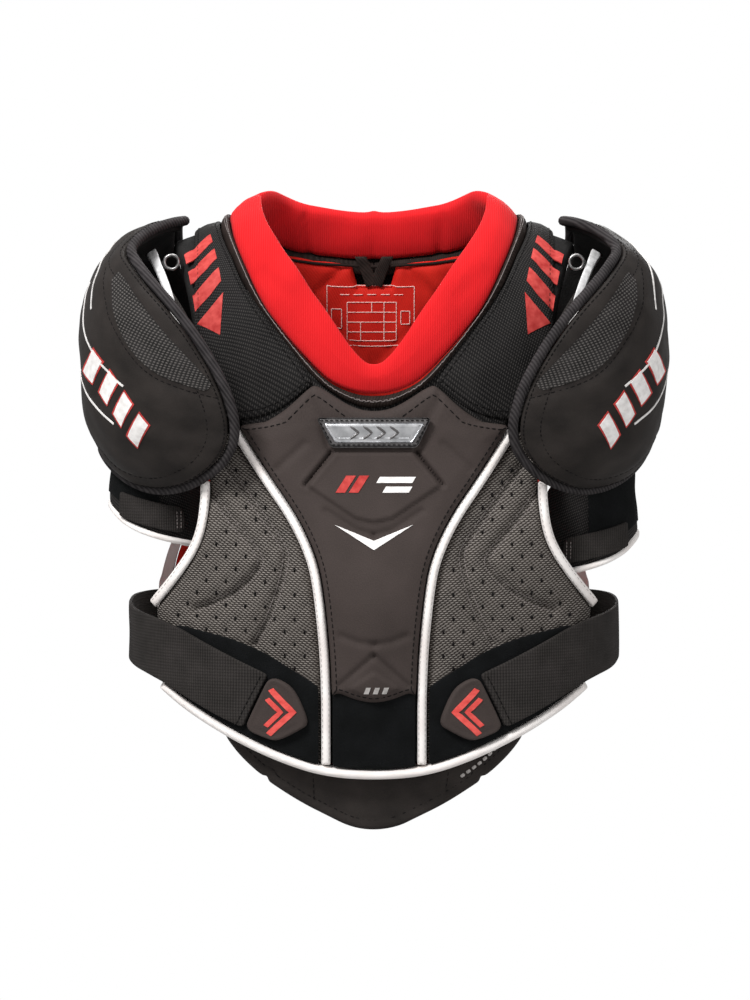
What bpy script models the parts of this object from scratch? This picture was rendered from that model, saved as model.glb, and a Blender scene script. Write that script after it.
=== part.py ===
"""Ice hockey shoulder pads, senior size.

The wearer faces -Y, +X is the wearer's left and +Z is up. The origin is on the
centreline at the height of the neck base, midway between chest and back.
Sheets and pads are outlines laid on the wearer's body and given a thickness
there, so that layers nest. All sizes are in metres.
"""

import math

import bmesh
import bpy
from mathutils import Vector

MM = 0.001

# The wearer's body, which every layer is measured out from.
CHEST_HALF_WIDTH = 0.186
CHEST_HALF_DEPTH = 0.116
SHOULDER_HALF_WIDTH = 0.236
SHOULDER_HALF_DEPTH = 0.086
BODY_SQUARENESS = 2.5
ARMPIT_Z = -0.320
ARCH_FOOT_Z = -0.160
ARCH_LENGTH = 0.430
ARCH_SQUARENESS = 2.3
SHOULDER_CREST_X = 0.130
SHOULDER_CREST_Z = -0.008
TRAPEZIUS_SLOPE = 0.70
SHOULDER_SLOPE = 0.35

# Layers, as distances out from the body.
LINER = (0.0, 0.004)
FOAM = (0.0055, 0.014)
INSERT = (0.0155, 0.0175)
PLATE = (0.019, 0.029)
SIDE_PAD = (0.0055, 0.019)
YOKE = (0.0155, 0.019)
COVER = (0.0155, 0.018)
OUTER_PAD = (0.0195, 0.029)
LOOP_BAND = (0.0205, 0.023)
STRAP = (0.0245, 0.0275)
TAB = (0.0245, 0.029)
COLLAR = (0.0055, 0.023)
BINDING = (0.0055, 0.021)
PIPING = (0.0055, 0.025)
ARMHOLE_PIPING = (0.0055, 0.0195)
FLAP = (0.0, 0.006)

CLEARANCE = 0.0003
SEAM_GAP = 0.001
PIPING_WIDTH = 0.008
# A piping's outer side stands this far outside its edge line, whatever its width
PIPING_OUT = 0.004
GRID = 0.030

# Shoulder caps: rounded shells on the points of the shoulders.
CAP_INSET = 0.058
CAP_CENTRE_X = CHEST_HALF_WIDTH - CAP_INSET
CAP_CENTRE_Z = -0.100
CAP_REACH = 0.127
CAP_HALF_DEPTH = 0.146
CAP_RISE = 0.115
CAP_DROP = 0.142
CAP_SQUARENESS = 2.6
CAP_SHEET_SCALE = 0.130
CAP_SHELL = (-0.0045, 0.0)
CAP_LINER = (-0.0115, -0.0065)
CAP_BINDING_RADIUS = 0.0035
CAP_BINDING_STANDOFF = 0.0055
CAP_HINGE_OUT = 0.040
CAP_HINGE_X = CAP_CENTRE_X + CAP_HINGE_OUT
CAP_HINGE_Z = 0.0

# Arm guards: open cuffs round the upper arms, hung under the caps.
GUARD_INSET = 0.002
GUARD_CENTRE_X = CHEST_HALF_WIDTH - GUARD_INSET
GUARD_CENTRE_Y = -0.008
GUARD_HALF_WIDTH = 0.036
GUARD_HALF_DEPTH = 0.046
GUARD_TOP_Z = -0.150
GUARD_BOTTOM_Z = -0.275
GUARD_TOP_TAPER = 0.78
GUARD_LINER = (0.0, 0.004)
GUARD_SHELL = (0.0055, 0.012)
GUARD_STRAP = (0.0135, 0.016)
GUARD_SHEET_SCALE = 0.050
GUARD_HINGE_Z = -0.214
LEFT_GUARD_EXTRA_DROP = 0.026

# The belly flap folds forward on this line.
FLAP_FOLD_Z = -0.4605

# Side straps turn on a line down the back, where they are sewn to the rear band.
STRAP_HINGE_ANGLE = 150.0
STRAP_SHEET_SCALE = 0.150

BADGE_TOP_Z = -0.156
BADGE_BOTTOM_Z = -0.181
BADGE_TOP_HALF_WIDTH = 0.048
BADGE_BOTTOM_HALF_WIDTH = 0.036
BADGE_RIM = 0.004
BADGE_FRAME_THICKNESS = 0.003
BADGE_STANDOFF = 0.0303

RING_RADIUS = 0.006
RING_WIRE_RADIUS = 0.0014

LOOP_HALF_WIDTH = 0.016
LOOP_HEIGHT = 0.028
LOOP_RIBBON = 0.008
LOOP_THICKNESS = 0.002
LOOP_TOP_Z = -0.020

SIDES = {"left": 1.0, "right": -1.0}

RED = (0.76, 0.020, 0.018)
BLACK = (0.016, 0.015, 0.015)
CHARCOAL = (0.045, 0.038, 0.036)
BROWN_GREY = (0.090, 0.075, 0.070)
WHITE = (0.88, 0.86, 0.84)
SILVER = (0.70, 0.69, 0.68)


def clear_scene():
    for item in list(bpy.data.objects):
        bpy.data.objects.remove(item, do_unlink=True)


def material(name, colour, roughness, metallic=0.0):
    made = bpy.data.materials.new(name)
    made.use_nodes = True
    shader = made.node_tree.nodes["Principled BSDF"]
    shader.inputs["Base Color"].default_value = (*colour, 1.0)
    shader.inputs["Roughness"].default_value = roughness
    shader.inputs["Metallic"].default_value = metallic
    return made


def ease(share):
    share = min(max(share, 0.0), 1.0)
    return share * share * (3.0 - 2.0 * share)


def body_halves(z):
    """Half width and half depth of the body at height z."""
    share = ease((z - ARMPIT_Z) / (ARCH_FOOT_Z - ARMPIT_Z))
    width = CHEST_HALF_WIDTH + (SHOULDER_HALF_WIDTH - CHEST_HALF_WIDTH) * share
    depth = CHEST_HALF_DEPTH + (SHOULDER_HALF_DEPTH - CHEST_HALF_DEPTH) * share
    return width, depth


def shoulder_rise(x):
    """Height of the shoulder line over the foot of its arch."""
    past = abs(x) - SHOULDER_CREST_X
    slope = SHOULDER_SLOPE if past > 0.0 else TRAPEZIUS_SLOPE
    return SHOULDER_CREST_Z - ARCH_FOOT_Z - slope * past


def over_body(x, path, out):
    """A point on the body: path runs up the chest, over the shoulder and down the back.

    It is negative on the chest below the arch, 0 to ARCH_LENGTH over the arch, and
    past ARCH_LENGTH on the back.
    """
    below = max(-path, path - ARCH_LENGTH, 0.0)
    z = ARCH_FOOT_Z - below
    width, depth = body_halves(z)
    share = min(abs(x) / (width + out), 1.0)
    reach = (depth + out) * (1.0 - share**BODY_SQUARENESS) ** (1.0 / BODY_SQUARENESS)
    if path <= 0.0:
        return Vector((x, -reach, z))
    if path >= ARCH_LENGTH:
        return Vector((x, reach, z))
    angle = math.pi * path / ARCH_LENGTH
    power = 2.0 / ARCH_SQUARENESS
    forward = math.copysign(abs(math.cos(angle)) ** power, math.cos(angle))
    rise = (shoulder_rise(x) + out) * math.sin(angle) ** power
    return Vector((x, -reach * forward, ARCH_FOOT_Z + rise))


def arch_path(x, z):
    """How far round the arch the height z is, from its foot."""
    share = min((z - ARCH_FOOT_Z) / (shoulder_rise(x) + FOAM[1]), 1.0)
    return math.asin(share ** (ARCH_SQUARENESS / 2.0)) / math.pi * ARCH_LENGTH


def front(x_mm, z_mm):
    """A place on the chest, from its x and z in millimetres."""
    x, z = x_mm * MM, z_mm * MM
    return (x, z - ARCH_FOOT_Z) if z <= ARCH_FOOT_Z else (x, arch_path(x, z))


def back(x_mm, z_mm):
    """A place on the back, from its x and z in millimetres."""
    x, path = front(x_mm, z_mm)
    return x, ARCH_LENGTH - path


def top(x_mm, past_mm=0.0):
    """A place on the shoulder line, or past_mm behind it."""
    return x_mm * MM, ARCH_LENGTH / 2.0 + past_mm * MM


def round_body(turn, z, out):
    """A point round the body at height z: turn 0 is the front, and 90 degrees the side."""
    width, depth = body_halves(z)
    angle = turn / STRAP_SHEET_SCALE
    power = 2.0 / BODY_SQUARENESS
    sideways = abs(math.sin(angle)) ** power
    forward = math.copysign(abs(math.cos(angle)) ** power, math.cos(angle))
    return Vector(((width + out) * sideways, -(depth + out) * forward, z))


def turn_at(x_mm, z_mm):
    """The place in round_body's sheet of a point seen from the front."""
    width, _ = body_halves(z_mm * MM)
    share = x_mm * MM / (width + STRAP[0])
    angle = math.asin(min(share, 1.0) ** (BODY_SQUARENESS / 2.0))
    return angle * STRAP_SHEET_SCALE, z_mm * MM


def turn_of(degrees, z_mm):
    return math.radians(degrees) * STRAP_SHEET_SCALE, z_mm * MM


def over_cap(forward, up, out):
    """A point on the left cap. The sheet's distance from its middle is the angle off +X."""
    off_axis = math.hypot(forward, up) / CAP_SHEET_SCALE
    around = math.atan2(forward, up)
    ray = Vector(
        (
            math.cos(off_axis),
            -math.sin(off_axis) * math.sin(around),
            math.sin(off_axis) * math.cos(around),
        )
    )
    height = CAP_RISE if ray.z > 0.0 else CAP_DROP
    halves = (CAP_REACH + out, CAP_HALF_DEPTH + out, height + out)
    total = sum(abs(r / h) ** CAP_SQUARENESS for r, h in zip(ray, halves))
    return Vector((CAP_CENTRE_X, 0.0, CAP_CENTRE_Z)) + ray / total ** (1.0 / CAP_SQUARENESS)


def cap_sheet(off_axis_degrees, around_degrees):
    """A place in the cap's sheet: around is 0 at the top and 90 degrees at the front."""
    away = math.radians(off_axis_degrees) * CAP_SHEET_SCALE
    around = math.radians(around_degrees)
    return away * math.sin(around), away * math.cos(around)


def round_arm(turn, z, out):
    """A point on the left arm guard: turn 0 faces outwards, and 90 degrees forwards."""
    angle = turn / GUARD_SHEET_SCALE
    share = (z - GUARD_BOTTOM_Z) / (GUARD_TOP_Z - GUARD_BOTTOM_Z)
    taper = 1.0 + (GUARD_TOP_TAPER - 1.0) * share
    return Vector(
        (
            GUARD_CENTRE_X + (GUARD_HALF_WIDTH * taper + out) * math.cos(angle),
            GUARD_CENTRE_Y - (GUARD_HALF_DEPTH * taper + out) * math.sin(angle),
            z,
        )
    )


def arm_sheet(degrees, z_mm):
    return math.radians(degrees) * GUARD_SHEET_SCALE, z_mm * MM


def mirrored(half):
    """A whole outline from its left half, whose first and last points are on the centreline."""
    return half + [(-x, path) for x, path in reversed(half) if x > 1e-9]


def shifted(line, distance, closed=False):
    """The line moved sideways, to its left as it runs."""
    moved = []
    last = len(line) - 1
    for i, point in enumerate(line):
        before = Vector(line[i - 1 if closed else max(i - 1, 0)])
        after = Vector(line[(i + 1) % len(line) if closed else min(i + 1, last)])
        along = (after - before).normalized()
        moved.append((point[0] - along.y * distance, point[1] + along.x * distance))
    return moved


def ribbon(line, width):
    """The outline of a ribbon of this width along a line."""
    return shifted(line, width / 2.0) + shifted(line, -width / 2.0)[::-1]


def laid(name, outline, surface, layer, look, side=1.0, lift=0.0, grid=GRID):
    """A solid sheet: an outline laid on a surface, from the layer's inner side to its outer."""
    sheet = bmesh.new()
    sheet.faces.new([sheet.verts.new((u, v, 0.0)) for u, v in outline])
    for axis, normal in ((0, (1, 0, 0)), (1, (0, 1, 0))):
        values = [point[axis] for point in outline]
        for k in range(math.ceil(min(values) / grid), math.floor(max(values) / grid) + 1):
            place = Vector((k * grid, k * grid, 0.0))
            bmesh.ops.bisect_plane(
                sheet,
                geom=sheet.verts[:] + sheet.edges[:] + sheet.faces[:],
                dist=grid / 20.0,
                plane_co=place,
                plane_no=normal,
            )
    bmesh.ops.triangulate(sheet, faces=sheet.faces[:])
    raised = bmesh.ops.extrude_face_region(sheet, geom=sheet.faces[:], use_keep_orig=True)
    outer = {item for item in raised["geom"] if isinstance(item, bmesh.types.BMVert)}
    for vertex in sheet.verts:
        point = surface(vertex.co.x, vertex.co.y, layer[1] if vertex in outer else layer[0])
        vertex.co = (point.x * side, point.y, point.z + lift)
    return finished(name, sheet, look)


def finished(name, shape, look, sharp_degrees=40.0):
    """An object from a bmesh whose faces are turned outwards."""
    bmesh.ops.recalc_face_normals(shape, faces=shape.faces[:])
    if shape.calc_volume(signed=True) < 0.0:
        bmesh.ops.reverse_faces(shape, faces=shape.faces[:])
    mesh = bpy.data.meshes.new(name)
    shape.to_mesh(mesh)
    shape.free()
    mesh.shade_smooth()
    mesh.set_sharp_from_angle(angle=math.radians(sharp_degrees))
    mesh.materials.append(look)
    made = bpy.data.objects.new(name, mesh)
    bpy.context.scene.collection.objects.link(made)
    return made


def tube(name, points, radius, look):
    """A round closed ring through the points."""
    curve = bpy.data.curves.new(name, "CURVE")
    curve.dimensions = "3D"
    curve.bevel_depth = radius
    curve.bevel_resolution = 1
    spline = curve.splines.new("POLY")
    spline.points.add(len(points) - 1)
    for place, point in zip(spline.points, points):
        place.co = (*point, 1.0)
    spline.use_cyclic_u = True
    curve.materials.append(look)
    made = bpy.data.objects.new(name, curve)
    bpy.context.scene.collection.objects.link(made)
    return made


def pivot(name, place, pieces):
    """An empty on a joint's axis, which the pieces that turn there are parented to."""
    empty = bpy.data.objects.new(name, None)
    empty.location = place
    bpy.context.scene.collection.objects.link(empty)
    for piece in pieces:
        piece.parent = empty
        piece.matrix_parent_inverse.translation = -Vector(place)
    return empty


# Lines that several pieces share, on the wearer's left, in millimetres.
COLLAR_INNER = [(0, -118), (20, -100), (42, -66), (57, -46), (82, -12), (95, 10)]
COLLAR_OUTER = [(0, -139), (31, -131), (50, -115), (74, -89), (97, -60), (119, -13)]
BINDING_OUTER = [(0, -150), (22, -145), (50, -127), (80, -89), (109, -52), (129, -9)]
NECK_BACK_INNER = [(0, 15), (36, 17), (72, 22)]
NECK_BACK_OUTER = [(0, -24), (53, -19), (84, -12), (110, 0)]
CHEST_SIDE = [
    (118, -166),
    (103, -189),
    (88, -212),
    (72, -234),
    (59, -257),
    (50, -280),
    (46, -304),
    (43, -332),
    (41, -358),
    (40, -388),
    (40, -446),
]
ARMHOLE = [
    (143, -182),
    (142, -211),
    (142, -226),
    (145, -250),
    (152, -268),
    (164, -286),
    (177, -303),
    (189, -318),
]
HEM = [(0, -454), (42, -451), (80, -439), (118, -422), (156, -401), (180, -384)]
FLAP_EDGE = [(92, -459.5), (61, -480), (36, -492), (20, -500), (0, -503)]
# The back's edge, as insets from the body's side and heights
BACK_SIDE = [(92, -120), (87, -184), (52, -240), (29, -262), (5, -296), (0, -350), (14, -392)]
BACK_TOP_INSET = 96
COLLAR_TOP = (98, 125)
BINDING_TOP = (126, 133)


def on_front(points):
    return [front(x, z) for x, z in points]


def on_back(points):
    return [back(x, z) for x, z in points]


def from_side(inset, z):
    """A place on the back, by its inset from the body's side there."""
    return back(body_halves(z * MM)[0] / MM - inset, z)


def piped(line, inwards):
    """The outline of a piping, which widens inwards only: 1 to the line's left, -1 to its right."""
    outer = shifted(line, -inwards * PIPING_OUT)
    return outer + shifted(line, inwards * (PIPING_WIDTH - PIPING_OUT))[::-1]


def below_hem(points, distance):
    """The hem line on the chest, moved up by a distance."""
    return shifted(on_front(points), distance)


def make_collar(looks):
    """Padded collar: two front lobes, a back band, their binding and the loop to hang it by."""
    made = []
    gap = SEAM_GAP / 2.0
    for word, side in SIDES.items():
        lobe = on_front(COLLAR_INNER) + [top(x) for x in COLLAR_TOP] + on_front(COLLAR_OUTER)[::-1]
        lobe = [(max(x, gap), path) for x, path in lobe]
        made.append(laid(f"collar_lobe_{word}", lobe, over_body, COLLAR, looks["red"], side))
        outer = on_front(BINDING_OUTER) + [top(BINDING_TOP[1]), back(118, -10), back(88, -22)]
        outer += [back(54, -29), back(0, -34)]
        inner = [front(x, z) for x, z in COLLAR_OUTER] + [top(BINDING_TOP[0])]
        inner = [(x, path) for x, path in shifted(inner, -SEAM_GAP)]
        rear = shifted(on_back(NECK_BACK_OUTER)[::-1], -SEAM_GAP)
        strip = [(max(x, gap), path) for x, path in outer + (inner + rear)[::-1]]
        made.append(laid(f"collar_binding_{word}", strip, over_body, BINDING, looks["dark"], side))
    band = on_back(NECK_BACK_INNER) + [top(COLLAR_TOP[0], 1.0), top(COLLAR_TOP[1], 1.0)]
    band = mirrored(band + on_back(NECK_BACK_OUTER)[::-1])
    made.append(laid("collar_back_band", band, over_body, COLLAR, looks["red"]))
    return made


def make_hang_loop(looks):
    """A folded ribbon loop on the inside of the back, under the collar."""
    wall = over_body(0.0, back(0, LOOP_TOP_Z / MM)[1], LINER[0]).y
    low = over_body(0.0, back(0, (LOOP_TOP_Z - LOOP_HEIGHT) / MM)[1], LINER[0]).y
    y = min(wall, low) - SEAM_GAP - LOOP_THICKNESS
    ring = bmesh.new()
    steps = 16
    rims = []
    for inset in (0.0, LOOP_RIBBON):
        points = []
        for i in range(steps):
            angle = 2.0 * math.pi * i / steps
            across = (LOOP_HALF_WIDTH - inset) * math.sin(angle)
            up = (LOOP_HEIGHT / 2.0 - inset) * math.cos(angle)
            points.append(ring.verts.new((across, y, LOOP_TOP_Z - LOOP_HEIGHT / 2.0 + up)))
        rims.append(points)
    for i in range(steps):
        j = (i + 1) % steps
        ring.faces.new((rims[0][i], rims[0][j], rims[1][j], rims[1][i]))
    bmesh.ops.triangulate(ring, faces=ring.faces[:])
    raised = bmesh.ops.extrude_face_region(ring, geom=ring.faces[:], use_keep_orig=True)
    for item in raised["geom"]:
        if isinstance(item, bmesh.types.BMVert):
            item.co.y += LOOP_THICKNESS
    return [finished("hang_loop", ring, looks["black"])]


def make_front(looks):
    """The chest: lining, foam, hard insert, moulded plate, side pads, hook-and-loop and piping."""
    made = []
    half = PIPING_WIDTH / 2.0 + SEAM_GAP
    inner_side = PIPING_WIDTH - PIPING_OUT + SEAM_GAP
    armhole = on_front(ARMHOLE)
    hem_up = below_hem(HEM, inner_side)
    side_line = on_front(CHEST_SIDE)
    side_line[-1] = (side_line[-1][0], hem_up[1][1] + SEAM_GAP)
    neck = shifted(on_front(BINDING_OUTER[:3]), -SEAM_GAP)
    corner = [front(80, -157)]
    plate_side = shifted(side_line[:10], -half)
    plate = neck + corner + plate_side + [front(30, -384), front(16, -390), front(0, -393)]
    plate[0] = (0.0, plate[0][1])
    made.append(laid("chest_plate", mirrored(plate), over_body, PLATE, looks["chest"]))
    foam = [front(0, -155), front(50, -140), front(84, -168)] + shifted(side_line[1:], -half)
    foam = foam[:-1] + [(foam[-1][0], hem_up[1][1]), (0.0, hem_up[0][1])]
    made.append(laid("chest_foam", mirrored(foam), over_body, FOAM, looks["foam"]))
    insert = [front(0, -190), front(44, -190), front(52, -214), front(34, -262)]
    insert += [front(30, -360), front(0, -372)]
    made.append(laid("sternum_insert", mirrored(insert), over_body, INSERT, looks["white"]))
    liner = [front(0, -155), front(50, -134), front(90, -100), front(140, -150)]
    liner += shifted(armhole, -inner_side) + hem_up[::-1]
    liner[-1] = (0.0, liner[-1][1])
    made.append(laid("front_liner", mirrored(liner), over_body, LINER, looks["black"]))
    centre = [front(0, -398), front(17, -395), front(31, -389), (0.0345, front(0, -388)[1])]
    centre += [(0.0345, hem_up[1][1]), (0.0, hem_up[0][1])]
    made.append(laid("loop_band_centre", mirrored(centre), over_body, LOOP_BAND, looks["black"]))
    for word, side in SIDES.items():
        inner = shifted(side_line, half)
        pad = inner[:1] + shifted(armhole, -inner_side) + hem_up[2:][::-1]
        pad += [(inner[-1][0], hem_up[1][1] + SEAM_GAP)] + inner[1:-1][::-1]
        made.append(laid(f"side_chest_pad_{word}", pad, over_body, SIDE_PAD, looks["side"], side))
        patch = [front(46, -379), front(104, -343), front(166, -331), front(176, -350)]
        patch += hem_up[2:][::-1] + [(0.046, hem_up[1][1] + SEAM_GAP)]
        made.append(laid(f"loop_band_{word}", patch, over_body, LOOP_BAND, looks["black"], side))
        made.append(
            laid(
                f"chest_piping_{word}",
                ribbon(side_line, PIPING_WIDTH),
                over_body,
                PIPING,
                looks["white"],
                side,
            )
        )
        made.append(
            laid(
                f"armhole_piping_{word}",
                piped(armhole[1:], -1.0),
                over_body,
                ARMHOLE_PIPING,
                looks["white"],
                side,
            )
        )
    hem = on_front(HEM)
    low, high = shifted(hem, -PIPING_OUT), shifted(hem, PIPING_WIDTH - PIPING_OUT)
    outline = mirrored([(0.0, high[0][1])] + high[1:] + low[1:][::-1] + [(0.0, low[0][1])])
    made.append(laid("hem_piping", outline, over_body, PIPING, looks["white"]))
    return made


def flat_prism(name, outline, lean, depth, look):
    """A flat plate: an outline in x and z with its back on a leaning plane."""
    plate = bmesh.new()
    plate.faces.new([plate.verts.new((x, lean(z), z)) for x, z in outline])
    raised = bmesh.ops.extrude_face_region(plate, geom=plate.faces[:], use_keep_orig=True)
    for item in raised["geom"]:
        if isinstance(item, bmesh.types.BMVert):
            item.co.y -= depth
    return finished(name, plate, look)


def make_badge(looks):
    """A plain silver badge: a frame and the plate that sits in it."""
    top_y = over_body(0.0, front(0, BADGE_TOP_Z / MM)[1], BADGE_STANDOFF).y
    low_y = over_body(0.0, front(0, BADGE_BOTTOM_Z / MM)[1], BADGE_STANDOFF).y
    tilt = (top_y - low_y) / (BADGE_TOP_Z - BADGE_BOTTOM_Z)

    def lean(z):
        return low_y + tilt * (z - BADGE_BOTTOM_Z)

    def trapezoid(inset):
        upper = (BADGE_TOP_HALF_WIDTH - 1.3 * inset, BADGE_TOP_Z - inset)
        lower = (BADGE_BOTTOM_HALF_WIDTH - 1.0 * inset, BADGE_BOTTOM_Z + inset)
        return [(-upper[0], upper[1]), upper, lower, (-lower[0], lower[1])]

    frame = flat_prism("badge_frame", trapezoid(0.0), lean, BADGE_FRAME_THICKNESS, looks["silver"])
    cutter = flat_prism("badge_cutter", trapezoid(BADGE_RIM), lean, 0.02, looks["silver"])
    cutter.location.y = 0.01
    cutter.hide_render = True
    cutter.display_type = "WIRE"
    cut = frame.modifiers.new("window", "BOOLEAN")
    cut.operation = "DIFFERENCE"
    cut.object = cutter
    window = trapezoid(BADGE_RIM + CLEARANCE)
    plate = flat_prism("badge_plate", window, lean, BADGE_FRAME_THICKNESS - 0.001, looks["silver"])
    return [frame, plate]


def make_belly_flap(looks):
    """The flap under the hem: its sewn top stays, and the rest folds forward on its pivot."""
    low_hem = shifted(on_front(HEM), -PIPING_OUT)
    upper = [(0.0, low_hem[0][1] + 0.0085)] + [(x, path + 0.0085) for x, path in low_hem[1:4]]
    sewn = upper + [front(127, -424), front(114, -441), front(94, -458.5)]
    sewn += [(0.0, FLAP_FOLD_Z - ARCH_FOOT_Z + 0.0015)]
    strip = laid("belly_flap_seam", mirrored(sewn), over_body, (0.0, 0.0045), looks["dark"])
    outline = [(0.0, FLAP_FOLD_Z - ARCH_FOOT_Z), (0.092, FLAP_FOLD_Z - ARCH_FOOT_Z)]
    outline += on_front(FLAP_EDGE)[1:]
    flap = laid("belly_flap", mirrored(outline), over_body, FLAP, looks["dark"])
    y = over_body(0.0, FLAP_FOLD_Z - ARCH_FOOT_Z, FLAP[1]).y
    pivot("belly_flap_pivot", (0.0, y, FLAP_FOLD_Z), [flap])
    return [strip, flap]


def make_back(looks):
    """The back: red lining, foam, cover, spine plates, shoulder-blade pads and the rear band."""
    made = []
    inner_side = PIPING_WIDTH - PIPING_OUT + SEAM_GAP
    edge = [from_side(inset, z) for inset, z in BACK_SIDE]
    inside = shifted(edge, inner_side)
    neck = [back(0, -40), back(54, -35), back(90, -28)]
    liner = neck + [from_side(BACK_TOP_INSET, z) for z in (-60, -110)]
    liner += inside + [back(90, -405), back(0, -412)]
    made.append(laid("back_liner", mirrored(liner), over_body, LINER, looks["red"]))
    foam = [back(0, -124), from_side(BACK_TOP_INSET, -124)] + inside[1:]
    foam += [back(90, -402), back(0, -409)]
    made.append(laid("back_foam", mirrored(foam), over_body, FOAM, looks["foam"]))
    made.append(laid("back_cover", mirrored(foam), over_body, COVER, looks["black"]))
    top_z, drop = -126, 66
    for k, word in enumerate(("upper", "middle", "lower")):
        high, low = top_z - k * drop, top_z - (k + 1) * drop + 3
        wide, narrow = 62 - 6 * k, 56 - 6 * k
        plate = [back(0, high), back(wide, high - 4), back(wide + 3, high - 24)]
        plate += [back(narrow, low + 6), back(0, low)]
        name = f"spine_plate_{word}"
        made.append(laid(name, mirrored(plate), over_body, OUTER_PAD, looks["chest"]))
    for word, side in SIDES.items():
        blade = [back(72, -132), back(98, -132), back(102, -190), back(138, -226)]
        blade += [back(132, -262), back(72, -278), back(64, -230), back(68, -160)]
        made.append(laid(f"blade_pad_{word}", blade, over_body, OUTER_PAD, looks["side"], side))
        strip = piped(edge[2:], 1.0)
        name = f"back_binding_{word}"
        made.append(laid(name, strip, over_body, (0.0, 0.018), looks["white"], side))
    end = round_body(math.radians(STRAP_HINGE_ANGLE) * STRAP_SHEET_SCALE, -0.34, STRAP[0]).x
    reach = (end - 0.003) / MM
    band = [back(0, -330), back(reach, -325), back(reach, -375), back(0, -378)]
    layer = (OUTER_PAD[0], STRAP[1])
    made.append(laid("rear_band", mirrored(band), over_body, layer, looks["elastic"]))
    return made


def make_shoulders(looks):
    """Yokes over the shoulders, the pads inside them and the tabs that carry the caps."""
    made = []
    gap = SEAM_GAP
    for word, side in SIDES.items():
        rim = shifted(on_front(BINDING_OUTER[2:]), -gap) + [top(134.5), back(120, -12)]
        rim += [back(89, -24), back(54, -31), (gap / 2.0, back(0, -36)[1])]
        yoke = rim + [(gap / 2.0, back(0, -122)[1]), back(100, -122), back(146, -114), top(155)]
        yoke += [front(150, -110), front(140, -150), front(120, -160), front(83, -154)]
        made.append(laid(f"shoulder_yoke_{word}", yoke, over_body, YOKE, looks["black"], side))
        pad = shifted(on_front(BINDING_OUTER[3:]), -gap) + [top(134.5), back(120, -12)]
        pad += [back(89, -24), back(89, -108), back(150, -108), top(176), front(150, -96)]
        pad += [front(138, -148), front(96, -150)]
        made.append(laid(f"shoulder_pad_{word}", pad, over_body, FOAM, looks["foam"], side))
        link = [front(158, -72), front(168, -46), front(176, -52), front(166, -80)]
        layer = (YOKE[0], YOKE[1] - 0.0005)
        made.append(laid(f"cap_link_{word}", link, over_body, layer, looks["white"], side))
        middle = over_body(0.172, front(172, -34)[1], YOKE[1] + 0.004)
        points = []
        for i in range(12):
            angle = 2.0 * math.pi * i / 12
            place = Vector((math.cos(angle), 0.0, math.sin(angle))) * RING_RADIUS + middle
            points.append((place.x * side, place.y, place.z))
        made.append(tube(f"cap_ring_{word}", points, RING_WIRE_RADIUS, looks["silver"]))
    return made


CAP_RIM = [
    (70, 0),
    (66, 15),
    (57, 32),
    (54, 44),
    (62, 60),
    (75, 77),
    (84, 90),
    (91, 103),
    (94, 116),
    (90, 127),
    (80, 137),
    (68, 146),
    (56, 151),
    (45, 157),
    (38, 167),
    (36, 180),
    (38, 193),
    (45, 203),
    (56, 209),
    (68, 214),
    (80, 223),
    (90, 233),
    (94, 244),
    (91, 257),
    (84, 270),
    (77, 285),
    (71, 303),
    (68, 330),
]


def make_cap(word, side, looks):
    """A shoulder cap: shell, padded lining and the rolled binding round its rim."""
    rim = [cap_sheet(off, around) for off, around in CAP_RIM]
    shell = laid(f"cap_shell_{word}", rim, over_cap, CAP_SHELL, looks["cap"], side)
    liner = laid(f"cap_liner_{word}", rim, over_cap, CAP_LINER, looks["foam"], side)
    middle = CAP_SHELL[0] + 0.0005
    points = []
    for forward, up in shifted(rim, CAP_BINDING_STANDOFF, closed=True):
        point = over_cap(forward, up, middle)
        points.append((point.x * side, point.y, point.z))
    binding = tube(f"cap_binding_{word}", points, CAP_BINDING_RADIUS, looks["dark"])
    pivot(f"cap_pivot_{word}", (CAP_HINGE_X * side, 0.0, CAP_HINGE_Z), [shell, liner, binding])
    return [shell, liner, binding]


def make_arm_guard(word, side, looks):
    """An arm guard: lining, padded shell and the strap that closes it."""
    lift = -LEFT_GUARD_EXTRA_DROP if side > 0.0 else 0.0
    lower = [(-95, -252), (-60, -240), (-20, -232), (20, -236), (60, -252), (100, -262)]
    lower += [(148, -270)]
    high = [(148, -196), (100, -160), (60, -152), (0, -150), (-60, -156), (-95, -168)]
    shell = [arm_sheet(a, z) for a, z in lower + high]
    made = [
        laid(f"arm_guard_shell_{word}", shell, round_arm, GUARD_SHELL, looks["black"], side, lift),
        laid(f"arm_guard_liner_{word}", shell, round_arm, GUARD_LINER, looks["foam"], side, lift),
    ]
    hinge = Vector((GUARD_CENTRE_X * side, 0.0, GUARD_HINGE_Z))
    pivot(f"arm_guard_pivot_{word}", hinge, made)
    band = [arm_sheet(46, -222), arm_sheet(46, -243), arm_sheet(80, -251), arm_sheet(113, -257)]
    band += [arm_sheet(117, -252), arm_sheet(117, -240), arm_sheet(113, -235), arm_sheet(80, -229)]
    strap = laid(f"arm_strap_{word}", band, round_arm, GUARD_STRAP, looks["elastic"], side, lift)
    root = round_arm(*arm_sheet(44, -225), GUARD_STRAP[0])
    pivot(f"arm_strap_pivot_{word}", (root.x * side, root.y, root.z + lift), [strap])
    return made + [strap]


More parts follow.
